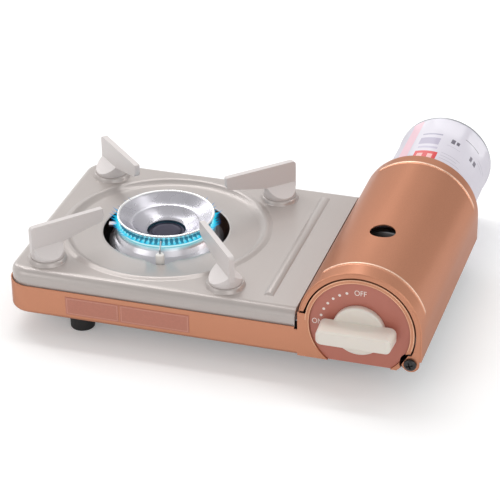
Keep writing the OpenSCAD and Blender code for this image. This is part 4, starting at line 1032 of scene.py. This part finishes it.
floorPaint = Surface("floor", stage["tone"], stage["rough"])
floorPaint.bump(floorPaint.noise(stage["grain"], 2.0), stage["relief"])
floorPaint.set("Emission Color", greyTone(1))
floorRays = floorPaint.node("ShaderNodeLightPath").outputs
seen = floorPaint.math("MAXIMUM", floorRays["Is Camera Ray"], floorRays["Is Glossy Ray"])
seen = floorPaint.math("MAXIMUM", seen, floorRays["Is Transmission Ray"])
lifted = floorPaint.math("MULTIPLY", seen, stage["lift"])
floorPaint.link(lifted, floorPaint.shader.inputs["Emission Strength"])
bpy.ops.mesh.primitive_plane_add(size=stage["floor"], location=(0, 0, 0))
floor = bpy.context.object
floor.name = "floor"
floor.data.materials.append(floorPaint.material)

world = bpy.data.worlds.new("studio")
bpy.context.scene.world = world
world.use_nodes = True
room = NodeTree(world.node_tree)
background = room.tree.nodes["Background"]
rays = room.node("ShaderNodeLightPath").outputs
direction = room.node("ShaderNodeTexCoord").outputs["Generated"]
split = room.node("ShaderNodeSeparateXYZ")
room.link(direction, split.inputs[0])
ceilingStops = [(height, greyTone(grey)) for height, grey in stage["ceiling"]]
ceiling = room.ramp(split.outputs["Z"], ceilingStops)
mirrored = room.math("MAXIMUM", rays["Is Glossy Ray"], rays["Is Transmission Ray"])
walls = room.mixColour(mirrored, greyTone(stage["roomForLight"]), ceiling["Color"])
room.link(room.mixColour(rays["Is Camera Ray"], walls, greyTone(1)), background.inputs["Color"])

towardScreen = room.node("ShaderNodeVectorMath", operation="DOT_PRODUCT")
room.link(direction, towardScreen.inputs[0])
towardScreen.inputs[1].default_value = Vector(stage["screen"]).normalized()
screen = room.spread(towardScreen.outputs["Value"], 0.0, stage["screenGrey"], *stage["screenEdge"])
hidden = room.math("MULTIPLY", screen, rays["Is Glossy Ray"])
room.link(room.math("SUBTRACT", stage["room"], hidden), background.inputs["Strength"])

# Six soft lamps: size in metres, power in watts. The strips stand in a bow over the stove and draw
# light lines on beads and rims.
lamps = {
    "overhead": {"place": (-0.6, 0.7, 1.4), "aim": (0, 0, 0), "size": (1.2, 0.9), "power": 7.5},
    "frontLeft": {"place": (-1.2, -1.4, 1.0), "aim": (0, 0, 0.04), "size": (1.0, 0.8), "power": 3.5},
    "frontRight": {"place": (1.1, -1.4, 0.7), "aim": (0, 0, 0.04), "size": (1.0, 0.8), "power": 3.5},
    "stripTop": {"place": (0.1, 0.28, 1.3), "aim": (0.1, 0, 0.05), "size": (1.5, 0.14), "power": 3.2},
    "stripRight": {"place": (1.3, 0.35, 0.6), "aim": (0.1, 0, 0.05), "size": (0.14, 1.1), "power": 2.2},
    "stripLeft": {"place": (-1.1, 0.45, 0.75), "aim": (0.1, 0, 0.05), "size": (0.14, 1.1), "power": 2.2},
}
for lampName, lamp in lamps.items():
    lampData = bpy.data.lights.new(lampName, "AREA")
    lampData.shape = "RECTANGLE"
    lampData.size, lampData.size_y = lamp["size"]
    lampData.energy = lamp["power"]
    lampObject = bpy.data.objects.new(lampName, lampData)
    bpy.context.scene.collection.objects.link(lampObject)
    lampObject.location = lamp["place"]
    ahead = Vector(lamp["aim"]) - Vector(lamp["place"])
    lampObject.rotation_euler = ahead.to_track_quat("-Z", "Y").to_euler()

# Camera: azimuth, elevation and roll in degrees, place and clipping in metres, lens and sensor in mm
camera = {
    "azimuth": 17.516, "elevation": 29.665, "roll": -0.7404, "place": (0.40553, -1.30464, 0.80078),
    "lens": 163.143, "sensor": 36, "nearest": 0.05, "farthest": 50,
}
cameraData = bpy.data.cameras.new("camera")
cameraData.lens = camera["lens"]
cameraData.sensor_width = camera["sensor"]
cameraData.clip_start = camera["nearest"]
cameraData.clip_end = camera["farthest"]
cameraObject = bpy.data.objects.new("camera", cameraData)
bpy.context.scene.collection.objects.link(cameraObject)
azimuth, elevation, roll = (math.radians(camera[angle]) for angle in ("azimuth", "elevation", "roll"))
level = math.cos(elevation)
back = Vector((math.sin(azimuth) * level, -math.cos(azimuth) * level, math.sin(elevation)))
right = Vector((math.cos(azimuth), math.sin(azimuth), 0))
up = back.cross(right)
turnedRight = right * math.cos(roll) + up * math.sin(roll)
turnedUp = up * math.cos(roll) - right * math.sin(roll)
turned = Matrix((turnedRight, turnedUp, back)).transposed().to_4x4()
cameraObject.matrix_world = Matrix.Translation(camera["place"]) @ turned
bpy.context.scene.camera = cameraObject

bpy.context.scene.view_settings.view_transform = "Standard"
print("stage set")
